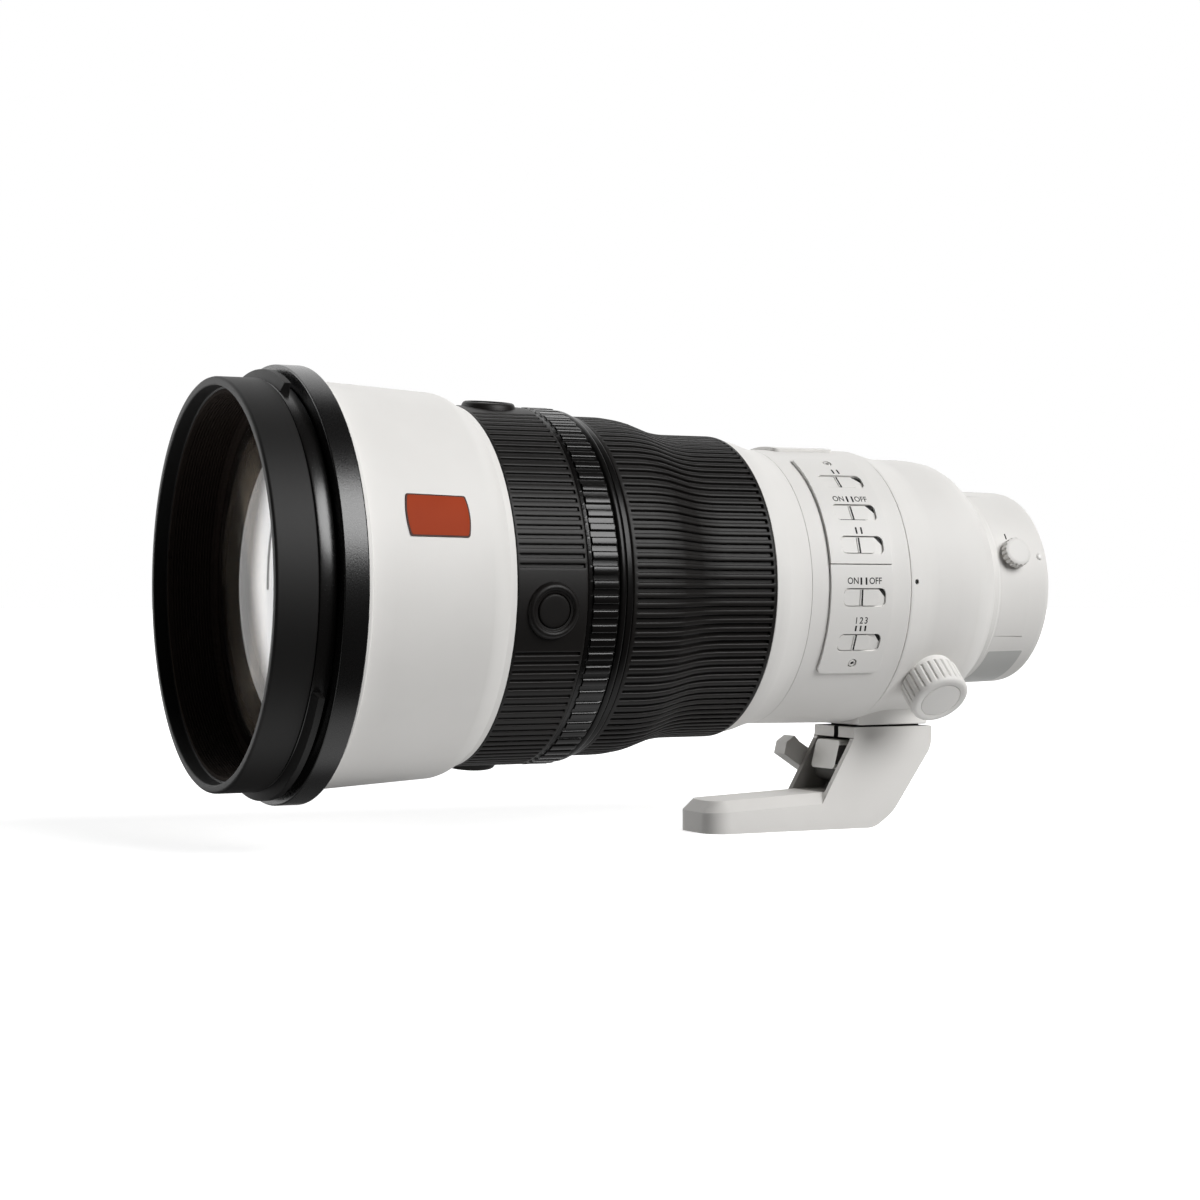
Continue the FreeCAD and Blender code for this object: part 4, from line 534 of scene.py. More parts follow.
def lens_body(name, finish, edge_front, edge_length, radius, front_curve, back_curve, node):
    """Glass with two ball faces and a flat rim; a second finish is for the back half."""
    clear = radius - GLASS_RIM
    edge_back = edge_front + edge_length

    def sag(curve, r):
        return math.copysign(abs(curve) - math.sqrt(curve * curve - r * r), curve)

    radii = [clear * ring / GLASS_RINGS for ring in range(GLASS_RINGS + 1)]
    front = [(edge_front - sag(front_curve, clear) + sag(front_curve, r), r) for r in radii]
    back = [(edge_back + sag(back_curve, clear) - sag(back_curve, r), r) for r in reversed(radii)]
    bm = bmesh.new()
    draw_outline(bm, front + [(edge_front, radius), (edge_back, radius)] + back, closed=False)
    spin_round(bm, GLASS_STEPS)
    if isinstance(finish, list):
        for face in bm.faces:
            face.material_index = int(face.calc_center_median().x > edge_front + edge_length / 2.0)
    place_piece(name, bm, "barrel", finish, (node,), weighted=False)


# White front barrel with its bare badge

SKIN_FRONT, SKIN_REAR = (-233.9, 58.1), (-201.7, 56.1)
FRONT_BARREL_OUTLINE = (
    (-240.7, 57.05), (-240.7, 60.2, 0.45), (-239.1, 60.2, 0.35), (-238.7, 58.75, 0.35),
    (*SKIN_FRONT, 2.0), (*SKIN_REAR, 0.8), (-198.2, 55.0, 2.4), (-196.3, 53.2, 1.3),
    (-195.0, 52.95, 0.3), (-194.3, 52.9, 0.12), (-194.3, 50.47), (-206.9, 50.47), (-206.9, 55.05),
    (-239.4, 55.05), (-239.4, 57.05))
BADGE_X, BADGE_ANGLES, BADGE_RADIUS = (-227.0, -209.4), (12.9, 25.0), 57.2
BADGE_MIDDLE, BADGE_BOW, BADGE_CORNER, BADGE_SUNK = -218.0, 0.75, 0.5, -0.4


def barrel_skin(x):
    """Radius of the straight cone between the two skin points."""
    slope = (SKIN_REAR[1] - SKIN_FRONT[1]) / (SKIN_REAR[0] - SKIN_FRONT[0])
    return SKIN_FRONT[1] + (x - SKIN_FRONT[0]) * slope


def badge_shape(inset, rise):
    """Plate with bowed front and rear ends, bent onto the barrel."""
    bm = bmesh.new()
    arc = math.radians(1.0) * BADGE_RADIUS
    s0, s1 = BADGE_ANGLES[0] * arc + inset, BADGE_ANGLES[1] * arc - inset
    flat_loop(bm, BADGE_X[0] + inset, BADGE_X[1] - inset, s0, s1, 0.0)
    sides = [e for e in bm.edges if abs(e.verts[0].co.x - e.verts[1].co.x) < SAME]
    bmesh.ops.subdivide_edges(bm, edges=sides, cuts=11)
    middle, half = (s0 + s1) / 2.0, (s1 - s0) / 2.0
    for vert in bm.verts:
        share = 1.0 - ((vert.co.y - middle) / half) ** 2
        vert.co.x += math.copysign(BADGE_BOW, vert.co.x - BADGE_MIDDLE) * share
    corners = [v for v in bm.verts if abs(abs(v.co.y - middle) - half) < SAME]
    bevel(bm, corners, BADGE_CORNER, 4, "VERTICES")
    fill_flat(bm)
    for place in range(-225, -209, 3):
        cut_at(bm, (place, 0, 0), (1, 0, 0))
    thicken(bm, BADGE_SUNK, rise)
    soften_top(bm, rise, 0.12)
    wrap(bm, BADGE_RADIUS, barrel_skin)
    return bm


def build_front_barrel():
    turned("front_barrel_shell", "barrel", WHITE_PAINT, FRONT_BARREL_OUTLINE,
           ("front_barrel",))
    place_piece("badge_frame", badge_shape(0.0, 0.28), "barrel", BADGE_EDGE,
                ("badge_plate",))
    place_piece("badge_face", badge_shape(0.42, 0.34), "barrel", BADGE_RED)


# Grip with the hold buttons

GRIP_RADIUS = 52.8
GRIP_OUTLINE = (
    (-194.2, 50.47), (-194.2, 52.75, 0.35), (-193.35, GRIP_RADIUS), (-193.1, GRIP_RADIUS),
    (-188.5, GRIP_RADIUS), (-183.4, GRIP_RADIUS), (-178.0, GRIP_RADIUS), (-173.7, GRIP_RADIUS),
    (-173.45, GRIP_RADIUS), (-172.6, 52.75, 0.35), (-172.6, 50.47))
GRIP_RIBS, GRIP_RIB_X, GRIP_TURN = 120, (-193.2, -173.6), -1.2
GRIP_CELL = (
    (0.0, 0.0), (0.17, 0.0), (0.26, 0.07), (0.315, 0.22), (0.34, 0.62), (0.5, 0.66), (0.66, 0.62),
    (0.685, 0.22), (0.74, 0.07), (0.83, 0.0))
BUTTON_ANGLES = [-7.8 + 90.0 * index for index in range(4)]
BUTTON_X, BUTTON_PAD = -183.2, 12.4
BUTTON_RIM = (
    (5.0, 51.0), (5.0, 53.45, 0.12), (5.75, 53.45, 0.1), (6.1, 54.05, 0.45), (7.1, 54.15, 0.7),
    (7.75, 53.3, 0.5), (8.1, 52.0, 0.2), (8.1, 51.0))
BUTTON_CAP = (
    (0.0, 53.8), (3.6, 53.78, 0.8), (4.45, 53.72, 0.3), (4.83, 53.35, 0.22), (4.83, 51.5, 0.1),
    (2.0, 51.5, 0.05), (2.0, 48.4, 0.05), (0.0, 48.4))


def build_grip():
    bm = bmesh.new()
    draw_outline(bm, GRIP_OUTLINE)

    def reach(x, radius, angle):
        if radius < GRIP_RADIUS - 0.01 or not GRIP_RIB_X[0] < x < GRIP_RIB_X[1]:
            return 0.0
        away = (angle - BUTTON_ANGLES[0] + 45.0) % 90.0 - 45.0
        return 0.0 if abs(away) < BUTTON_PAD else 1.0

    ribbed_round(bm, GRIP_RIBS, GRIP_CELL, reach, GRIP_TURN)
    place_piece("grip_cover", bm, "barrel", RUBBER, ("button_grip",))
    for number, angle in enumerate(BUTTON_ANGLES, 1):
        rim = at_angle(radial_turned(BUTTON_RIM, BUTTON_X, 64), angle)
        place_piece("button_rim_%d" % number, rim, "barrel", RUBBER)
        cap = at_angle(radial_turned(BUTTON_CAP, BUTTON_X, 64), angle)
        place_piece("button_cap_%d" % number, cap, "button_%d" % number, RUBBER,
                    ("hold_button_%d" % number,))


# Function ring and divider

FUNCTION_OUTLINE = (
    (-172.3, 50.5), (-172.3, 51.9, 0.3), (-170.95, 52.15, 0.2), (-170.8, 52.9), (-170.5, 52.9),
    (-167.0, 52.9), (-163.5, 52.9), (-163.2, 52.85), (-162.7, 52.2, 0.2), (-162.7, 50.5))
FUNCTION_RIBS = 80
FUNCTION_CELL = (
    (0.0, 0.0), (0.18, 0.02), (0.25, 0.12), (0.30, 0.40), (0.325, 0.68), (0.5, 0.72), (0.675, 0.68),
    (0.70, 0.40), (0.75, 0.12), (0.82, 0.02))
DIVIDER_OUTLINE = (
    (-162.4, 50.5), (-162.4, 51.9, 0.5), (-161.9, 52.4, 0.5), (-160.7, 52.4, 0.5), (-160.25, 51.6, 0.3),
    (-160.2, 50.95, 0.1), (-159.9, 50.95, 0.1), (-159.85, 51.35, 0.3), (-158.0, 51.35, 0.4),
    (-157.8, 50.9, 0.2), (-157.8, 50.5))


def build_function_ring():
    bm = bmesh.new()
    draw_outline(bm, FUNCTION_OUTLINE)

    def reach(x, radius, angle):
        return 1.0 if radius > 52.5 else (0.35 if radius > 52.12 and x < -170.0 else 0.0)

    ribbed_round(bm, FUNCTION_RIBS, FUNCTION_CELL, reach)
    place_piece("function_ring_shell", bm, "function_control", BLACK_GLOSS,
                ("function_ring",))
    turned("divider_beads", "barrel", BLACK_BEAD, DIVIDER_OUTLINE, ("divider_ring",))


# Focus ring

FOCUS_WIDE, FOCUS_NARROW = (-144.5, 48.3), (-128.5, 43.7)
FOCUS_OUTLINE = (
    (-157.5, 48.3), (-157.5, 50.6, 0.5), (-156.2, 50.7), (-155.9, 50.7), (-150.0, 50.7),
    (-143.9, 50.65, 4.5), (-139.6, 49.5, 2.0), (-133.2, 47.35, 2.0), (-128.6, 46.15, 4.0),
    (-121.0, 46.1), (-114.0, 46.1), (-109.7, 46.1), (-109.4, 46.1), (-108.1, 46.0, 0.5),
    (-108.1, 43.7), FOCUS_NARROW, FOCUS_WIDE)
FOCUS_RIBS, FOCUS_RIB_X = 112, (-156.0, -109.6)
FOCUS_CELL = (
    (0.0, 0.0), (0.16, 0.03), (0.245, 0.16), (0.295, 0.45), (0.315, 0.88), (0.5, 0.92), (0.685, 0.88),
    (0.705, 0.45), (0.755, 0.16), (0.84, 0.03))


def build_focus_ring():
    bm = bmesh.new()
    draw_outline(bm, FOCUS_OUTLINE)

    def reach(x, radius, angle):
        """Full on the outer skin between the two smooth ends, none in the bore."""
        bore = 48.4 if x < FOCUS_WIDE[0] else 43.8 + max(0.0, FOCUS_NARROW[0] - x) * 4.6 / 16.0
        return 1.0 if radius > bore and FOCUS_RIB_X[0] < x < FOCUS_RIB_X[1] else 0.0

    ribbed_round(bm, FOCUS_RIBS, FOCUS_CELL, reach)
    place_piece("focus_rubber", bm, "focus_control", RUBBER, ("focus_grip",))


# White middle: ring, barrel, switch panels

WHITE_RING_OUTLINE = (
    (-107.8, 42.6), (-107.8, 45.25, 0.3), (-103.9, 44.85, 1.5), (-99.9, 43.5, 2.0), (-96.0, 42.5, 1.5),
    (-94.4, 42.42, 0.12), (-94.4, 40.1), (-104.8, 40.1), (-104.8, 42.6))
MID_BARREL_OUTLINE = (
    (-94.3, 38.9), (-94.3, 42.4, 0.12), (-60.3, 42.8, 0.15), (-59.9, 42.45, 0.12), (-59.9, 38.9))
PANEL = (-88.3, -66.8)
WINDOW = (-84.0, -69.3)
WINDOW_ANGLES = (46.9, 30.7, 16.4, -4.6, -23.1)
WINDOW_HALF = 3.73
PANEL_TOP, PANEL_SPLIT, PANEL_BOTTOM = 63.5, 8.6, -37.2
PANEL_UNDER, UPPER_SKIN, LOWER_SKIN, TOP_SKIN = 41.75, 43.52, 43.3, 43.5
TOP_PANEL = (-87.8, -66.8, 78.0, 130.0)
TOP_WINDOW = (-84.65, -69.95)
TOP_WINDOW_ANGLE = 92.0
SET_X, SET_ANGLE = -77.3, 113.0
RECESS_FLOOR, WELL_BOTTOM, WELL_FLOOR, CLEAR_OF_SKIN = 41.7, 40.1, 42.75, 46.0
SLOT_HALF, SLOT_ANGLE = 3.0, 1.6
SHADE_HEIGHT = 0.03
SCREW_PLACES = ((-77.0, 59.6, UPPER_SKIN), (-77.0, -32.4, LOWER_SKIN))
EVERY_WINDOW = [(*WINDOW, angle) for angle in WINDOW_ANGLES] + [(*TOP_WINDOW, TOP_WINDOW_ANGLE)]


def window_box(front, rear, angle, grow=0.0):
    return (front - grow, rear + grow, angle - WINDOW_HALF - grow * 1.3, angle + WINDOW_HALF + grow * 1.3)


def build_middle():
    turned("white_ring_shell", "barrel", WHITE_PAINT, WHITE_RING_OUTLINE, ("white_ring",))
    bm = bmesh.new()
    draw_outline(bm, MID_BARREL_OUTLINE)
    spin_round(bm)
    cuts = [tile(PANEL[0] - 0.22, PANEL[1] + 0.1, PANEL_BOTTOM - 0.36, PANEL_TOP + 0.12, RECESS_FLOOR,
                 CLEAR_OF_SKIN, 2.2),
            tile(TOP_PANEL[0] - 0.2, TOP_PANEL[1] + 0.12, TOP_PANEL[2] - 0.25, TOP_PANEL[3] + 0.15,
                 RECESS_FLOOR, CLEAR_OF_SKIN, 2.2)]
    cuts += [tile(*window_box(*window, 0.35), WELL_BOTTOM, CLEAR_OF_SKIN, 2.1) for window in EVERY_WINDOW]
    cuts.append(at_angle(drum(SET_X, 0.0, 3.4, WELL_BOTTOM, CLEAR_OF_SKIN), SET_ANGLE))
    bm = combine(bm, cuts, "DIFFERENCE")
    place_piece("mid_barrel_shell", bm, "barrel", WHITE_PAINT, ("mid_barrel",), sharp=30.0)
    build_well_floors()


def build_well_floors():
    """Floor of each switch's well with its slot, and the dark shade in the well's far corner."""
    floors, shades = [], []
    for front, rear, angle in EVERY_WINDOW:
        middle = (front + rear) / 2.0
        slot = (middle - SLOT_HALF, middle + SLOT_HALF, angle - SLOT_ANGLE, angle + SLOT_ANGLE)
        floors.append(tile(*window_box(front, rear, angle, 0.3), WELL_BOTTOM + 0.1, WELL_FLOOR, 2.0,
                           holes=[slot], hole_rounding=0.4))
        # Painted shadow: a thin black wedge on the floor at the rear end of each window's upper side.
        shade = bmesh.new()
        top = math.radians(angle + WINDOW_HALF) * WELL_FLOOR
        corner = ((rear - 2.5, top), (rear, top), (rear, top - 2.7), (rear - 0.55, top - 2.2))
        shade.faces.new([shade.verts.new((x, s, 0.0)) for x, s in corner])
        thicken(shade, 0.0, SHADE_HEIGHT)
        wrap(shade, WELL_FLOOR, lambda x: WELL_FLOOR)
        shades.append(shade)
    place_piece("switch_well_floors", joined(floors), "barrel", WHITE_PLASTIC)
    place_piece("switch_well_shades", joined(shades), "barrel", INK_AND_PAINTED_SHADE, weighted=False)


def build_panels():
    rows = (("upper_plate", PANEL_SPLIT + 0.2, PANEL_TOP, WINDOW_ANGLES[:3],
             (False, False, True, True), "upper_panel", SCREW_PLACES[0]),
            ("lower_plate", PANEL_BOTTOM, PANEL_SPLIT - 0.2, WINDOW_ANGLES[3:],
             (True, True, False, False), "lower_panel", SCREW_PLACES[1]))
    for name, low, high, windows, corners, node, (screw_x, screw_angle, skin) in rows:
        holes = [window_box(*WINDOW, angle) for angle in windows]
        bm = tile(*PANEL, low, high, PANEL_UNDER, skin, 2.0, corners, 0.22, holes=holes, hole_rounding=1.8)
        sunk = at_angle(drum(screw_x, 0.0, 1.48, skin - 0.7, skin + 2.0), screw_angle)
        bm = combine(bm, [sunk], "DIFFERENCE")
        place_piece(name, bm, "barrel", WHITE_PLASTIC, (node,), sharp=32.0)
    bm = tile(*TOP_PANEL, PANEL_UNDER, TOP_SKIN, 2.0, soft=0.22,
              holes=[window_box(*TOP_WINDOW, TOP_WINDOW_ANGLE)], hole_rounding=1.8)
    hole = at_angle(drum(SET_X, 0.0, 3.27, 41.0, CLEAR_OF_SKIN, segments=64), SET_ANGLE)
    bm = combine(bm, [hole], "DIFFERENCE")
    place_piece("top_plate", bm, "barrel", WHITE_PLASTIC, ("top_panel",), sharp=32.0)
    build_panel_screws()


def build_panel_screws():
    heads, sockets = [], []
    for x, angle, skin in SCREW_PLACES:
        outline = ((0.0, skin - 0.9), (0.56, skin - 0.9, 0.03), (0.60, skin - 0.14, 0.03),
                   (0.95, skin - 0.1, 0.1), (1.16, skin - 0.4, 0.05), (1.16, 41.9))
        heads.append(at_angle(radial_turned(outline, x, 40), angle))
        # Painted shade: a black square in each head's drive recess and a black disc in the sunk round each
        # head.
        sockets.append(at_angle(drum(x, 0.0, 0.58, skin - 1.2, skin - 0.3, segments=4), angle))
        sockets.append(at_angle(drum(x, 0.0, 1.46, skin - 0.75, skin - 0.62), angle))
    place_piece("panel_screw_heads", joined(heads), "barrel", WHITE_PLASTIC, ("panel_screws",))
    place_piece("panel_screw_socket_shades", joined(sockets), "barrel", INK_AND_PAINTED_SHADE)


# Slide switches and the set button

SLIDER_TOP, SLIDER_HALF, SLIDER_GAP = 43.12, 2.42, 0.08
LINE_START, LINE_WIDTH, LINE_DEPTH = -0.12, 0.72, 0.2
RIB_FRONT, RIB_HEIGHT = -0.5, 0.28
SLIDER_LENGTH, MODE_SLIDER_LENGTH = 12.3, 11.1
SET_CAP = ((0.0, 43.68), (2.3, 43.7, 0.5), (3.2, 43.45, 0.3), (3.2, 40.9, 0.1), (0.0, 40.9))


def slider_shape(length, front):
    """Slide switch at the top of the barrel: rounded slab with a rib and a groove whose walls carry painted
    shade, on a narrow stem.
    """
    bm = bmesh.new()
    start = front + SLIDER_GAP
    flat_loop(bm, start, start + length, -SLIDER_HALF, SLIDER_HALF, 1.75)
    fill_flat(bm)
    thicken(bm, WELL_FLOOR + 0.04, SLIDER_TOP)
    soften_top(bm, SLIDER_TOP, 0.12)
    middle = start + length / 2.0
    stem = block(middle - 1.2, middle + 1.2, -0.9, 0.9, 40.3, WELL_FLOOR + 0.2)
    line = (middle + LINE_START, middle + LINE_START + LINE_WIDTH)
    cut = block(*line, -SLIDER_HALF - 1.0, SLIDER_HALF + 1.0, SLIDER_TOP - LINE_DEPTH, SLIDER_TOP + 2.0)
    bm = combine(bm, [stem], "UNION")
    bm = combine(bm, [cut], "DIFFERENCE")
    # Painted shade: the groove's walls and floor take the second, black finish.
    for face in bm.faces:
        centre = face.calc_center_median()
        in_groove_shade = line[0] - 0.02 < centre.x < line[1] + 0.02
        face.material_index = int(in_groove_shade and WELL_FLOOR + 0.06 < centre.z < SLIDER_TOP - 0.03)
    rib = block(middle + RIB_FRONT, line[0], -SLIDER_HALF + 0.02, SLIDER_HALF - 0.02, 42.9,
                SLIDER_TOP + RIB_HEIGHT)
    soften_sharp(rib, 0.1, least=1.0)
    return joined([bm, rib])


def build_sliders():
    rows = (("focus_mode_slider", "focus_mode", "focus_mode_switch"),
            ("override_slider", "override", "override_switch"),
            ("range_slider", "focus_range", "range_switch"),
            ("stabiliser_slider", "stabiliser_on", "stabiliser_switch"),
            ("mode_slider", "stabiliser_mode", "mode_switch"),
            ("preset_slider", "preset", "preset_switch"))
    for (name, body, node), (front, rear, angle) in zip(rows, EVERY_WINDOW):
        length = MODE_SLIDER_LENGTH if name == "mode_slider" else SLIDER_LENGTH
        bm = at_angle(slider_shape(length, front), angle)
        place_piece(name, bm, body, [WHITE_PLASTIC, INK_AND_PAINTED_SHADE], (node,), sharp=32.0)
    cap = at_angle(radial_turned(SET_CAP, SET_X, 48), SET_ANGLE)
    place_piece("set_button_cap", cap, "set_key", WHITE_PLASTIC, ("set_button",))


# Printed marks

INK_UNDER, INK_OVER = -0.02, 0.012
LETTER_SIZE, DIGIT_SIZE = 2.75, 2.8
TICK_PLACES = ((-76.6, 53.1, UPPER_SKIN), (-76.85, 36.9, UPPER_SKIN), (-77.0, 22.4, UPPER_SKIN),
               (-77.1, 1.9, LOWER_SKIN))
ON_OFF_PLACES = ((36.9, UPPER_SKIN), (1.9, LOWER_SKIN))


def printed(words, x, angle, size, skin, squeeze):
    """Flat lettering laid on the panel; its middle is at x."""
    curve = bpy.data.curves.new("words", "FONT")
    curve.body = words
    curve.size = size
    curve.align_x = "CENTER"
    curve.align_y = "CENTER"
    curve.resolution_u = 4
    curve.offset = 0.012 * size
    holder = linked("words", curve)
    bpy.context.view_layer.update()
    mesh = bpy.data.meshes.new_from_object(holder.evaluated_get(bpy.context.evaluated_depsgraph_get()))
    bm = bmesh.new()
    bm.from_mesh(mesh)
    bpy.data.objects.remove(holder)
    bpy.data.curves.remove(curve)
    bpy.data.meshes.remove(mesh)
    bmesh.ops.scale(bm, vec=(squeeze, 1, 1), verts=bm.verts)
    bmesh.ops.translate(bm, vec=(x, math.radians(angle) * skin, 0), verts=bm.verts)
    thicken(bm, INK_UNDER, INK_OVER)
    wrap(bm, skin, lambda place: skin)
    return bm


def tick(x, angle, width, height, skin):
    half = math.degrees(height / 2.0 / skin)
    return tile(x - width / 2.0, x + width / 2.0, angle - half, angle + half, skin + INK_UNDER,
                skin + INK_OVER, 0.15, reference=skin)


def build_marks():
    marks = [tick(x + shift, angle, 0.62, 2.2, skin) for x, angle, skin in TICK_PLACES
             for shift in (-0.9, 0.9)]
    for angle, skin in ON_OFF_PLACES:
        marks.append(printed("ON", -80.8, angle, LETTER_SIZE, skin, 0.92))
        marks.append(printed("OFF", -73.0, angle, LETTER_SIZE, skin, 0.92))
    for index, digit in enumerate("123"):
        marks.append(printed(digit, -78.9 + 1.7 * index, -13.9, DIGIT_SIZE, LOWER_SKIN, 0.95))
        marks.append(tick(-78.75 + 1.65 * index, -17.0, 0.6, 1.7, LOWER_SKIN))
    place_piece("printed_marks", joined(marks), "barrel", INK_AND_PAINTED_SHADE, weighted=False,
                merge=0.00001)


# Collar

COLLAR_OUTLINE = (
    (-59.6, 37.5), (-59.6, 42.35, 0.15), (-58.8, 42.38, 0.3), (-54.5, 41.3, 1.2), (-50.0, 40.45, 1.5),
    (-38.0, 40.4, 2.0), (-30.2, 39.3, 3.2), (-24.2, 34.0, 0.7), (-23.1, 33.25, 0.15), (-23.1, 31.9, 0.1),
    (-30.3, 31.9), (-30.3, 37.5))
COLLAR_BORE = ((-62.0, 37.5), (-30.3, 37.5), (-30.3, 10.0), (-62.0, 10.0))
BOSS_BOTTOM = -43.3
DOT_X, DOT_ANGLE = -57.5, 1.8
KNOB_X, KNOB_ANGLE = -45.5, -43.5


def build_collar():
    bm = bmesh.new()
    draw_outline(bm, COLLAR_OUTLINE)
    spin_round(bm)
    boss = block(-59.6, -32.4, -12.0, 12.0, BOSS_BOTTOM, -36.0)
    bevel(boss, [e for e in boss.edges if abs(e.verts[0].co.z - e.verts[1].co.z) > 5.0
                 and e.verts[0].co.x > -40.0], 4.0, 8)
    bevel(boss, [e for e in boss.edges if all(abs(v.co.z - BOSS_BOTTOM) < LEVEL for v in e.verts)], 0.45, 3)
    bore = bmesh.new()
    draw_outline(bore, COLLAR_BORE)
    spin_round(bore)
    boss = combine(boss, [bore], "DIFFERENCE")
    seat = at_angle(drum(KNOB_X, 0.0, 8.6, 38.0, 41.5, 0.3, 64), KNOB_ANGLE)
    dot = at_angle(drum(DOT_X, 0.0, 0.8, 41.3, 44.0, segments=24), DOT_ANGLE)
    bm = combine(bm, [boss, seat], "UNION")
    bm = combine(bm, [dot], "DIFFERENCE")
    place_piece("collar_ring", bm, "collar", WHITE_PAINT, ("tripod_collar",), sharp=32.0)
    floor = at_angle(drum(DOT_X, 0.0, 0.78, 41.0, 41.45, segments=24), DOT_ANGLE)
    place_piece("index_dot", floor, "collar", INK_AND_PAINTED_SHADE)
    # Painted shadow: the pad is black so that the gap between the collar and the foot reads dark.
    pad = block(-56.6, -35.4, -9.0, 9.0, FOOT_TOP, -43.2)
    place_piece("foot_pad_gap_shadow", pad, "collar", BLACK_INSIDE_AND_GAP_SHADE)
    build_foot()
    build_lever()


# Foot and its clamp lever; outlines here are (x, z) points in the side view

FOOT_HALF = 12.0
FOOT_TOP, FOOT_BOTTOM = -43.9, -75.4
BASE_FRONT, BASE_REAR = -111.7, -64.6
BASE_LOW_TOP, BASE_RISE = -65.8, 0.0438
ARM_OUTLINE = (
    (-61.0, FOOT_TOP, 0.4), (-61.0, -47.3, 1.2), (-73.5, -69.1), (-73.5, FOOT_BOTTOM),
    (-53.6, FOOT_BOTTOM, 2.4), (-46.9, -70.9, 2.4), (-32.4, -50.3, 2.6), (-32.4, FOOT_TOP, 0.5))
CAVITY_OUTLINE = ((-66.0, -47.3), (-49.2, -47.3), (-58.8, -64.0), (-76.0, -64.0))
CAVITY_HALF = 9.8
SOCKETS = ((-90.0, 2.55), (-72.0, 3.97))
LEVER_X, LEVER_Z = -60.0, -57.4
TAB_OUTLINE = ((-62.3, -48.3), (-64.6, -57.2), (-58.0, -57.2), (-57.6, -48.3))
TAB_HALF, TAB_SHIFT = 7.0, 1.4


def foot_base():
    """The flat base: round front corners, a top that rises to the rear, and bevelled top edges."""
    bm = block(BASE_FRONT, BASE_REAR, -FOOT_HALF, FOOT_HALF, FOOT_BOTTOM, BASE_LOW_TOP)
    bevel(bm, [e for e in bm.edges if all(v.co.x < BASE_FRONT + 0.1 for v in e.verts)
               and abs(e.verts[0].co.z - e.verts[1].co.z) > 1.0], 7.0, 8)
    for vert in bm.verts:
        if vert.co.z > BASE_LOW_TOP - 0.1:
            vert.co.z += (vert.co.x - BASE_FRONT) * BASE_RISE
    bevel(bm, [e for e in bm.edges if all(v.co.z > BASE_LOW_TOP - 0.1 for v in e.verts)
               and not all(v.co.x > BASE_REAR - 0.1 for v in e.verts)], 3.3, 1)
    return bm


def foot_arm():
    arm = side_prism(ARM_OUTLINE, FOOT_HALF)

    def is_side(edge):
        middle = (edge.verts[0].co + edge.verts[1].co) / 2.0
        return (abs(abs(middle.y) - FOOT_HALF) < 0.01 and abs(edge.verts[0].co.y - edge.verts[1].co.y) < 0.01
                and middle.x > -53.7 and middle.z < FOOT_TOP - 0.01)

    bevel(arm, [e for e in arm.edges if is_side(e)], 1.1, 4, clamp=True)
    return arm


def build_foot():
    hollow = side_prism(CAVITY_OUTLINE, CAVITY_HALF)
    slit = block(-62.5, -48.3, -2.5, 0.1, -48.0, -42.0)
    shaft = drum(0.0, 0.0, 1.95, -11.0, 14.0, segments=32)
    lying = Matrix.Translation((LEVER_X, 0.0, LEVER_Z)) @ Matrix.Rotation(math.radians(-90.0), 4, "X")
    bmesh.ops.transform(shaft, matrix=lying, verts=shaft.verts)
    seat = block(-48.42, -38.38, -6.02, 6.02, -52.0, -42.0)
    sockets = [drum(x, 0.0, radius, -76.0, -68.4, segments=40) for x, radius in SOCKETS]
    bm = combine(foot_base(), [foot_arm()], "UNION")
    bm = combine(bm, [hollow, slit, shaft, seat] + sockets, "DIFFERENCE")
    merge_flat(bm, 0.5)
    soften_sharp(bm, 0.4, 3)
    # Painted shade: the faces of the hollow take the darkened copy of the white, and the walls of the slit
    # take black.
    for face in bm.faces:
        middle = face.calc_center_median()
        if abs(middle.y) < CAVITY_HALF + 0.05 and -64.1 < middle.z < -47.2 and middle.x > -70.7:
            face.material_index = 1
        elif abs(middle.y + 1.2) < 1.34 and middle.z > -47.4 and middle.x < -48.2:
            face.material_index = 2
    place_piece("foot_casting", bm, "collar", [FOOT_SHADED_WHITE, CAVITY_PAINTED_SHADE, INK_AND_PAINTED_SHADE],
                ("collar_foot",), sharp=32.0)


def build_lever():
    """Clamp lever: a tab in the hollow, its hub and shaft, and the wing on the far side."""
    bm = combine(node_copy("foot_lever"), [block(-66.0, -54.0, -9.0, 9.0, -53.7, -46.0)], "DIFFERENCE")
    tab = side_prism(TAB_OUTLINE, TAB_HALF)
    bmesh.ops.translate(tab, vec=(0, TAB_SHIFT, 0), verts=tab.verts)
    bevel(tab, [e for e in tab.edges if abs(e.verts[0].co.y - e.verts[1].co.y) < 0.01
                and abs(e.verts[0].co.x - e.verts[1].co.x) > 3.0], 1.5, 5)
    bm = combine(bm, [tab], "UNION")
    merge_flat(bm, 0.4)
    soften_sharp(bm, 0.45, 3)
    # Painted shade: the far wing takes the darker copy of the lever metal, and the hub and the lower faces
    # take the near-black lever shade.
    for face in bm.faces:
        middle = face.calc_center_median()
        from_pivot = math.hypot(middle.x - LEVER_X, middle.z - LEVER_Z)
        if middle.y > 9.0:
            face.material_index = 1
        elif middle.z < -57.3 or (from_pivot < 4.2 and middle.x > -63.0) or middle.y < -5.58:
            face.material_index = 2
    place_piece("shown_foot_lever", bm, "foot_clamp_lever", [GREY_METAL, WING_PAINTED_SHADE, LEVER_SHADE],
                ("foot_lever",), sharp=38.0)


# Lock knob

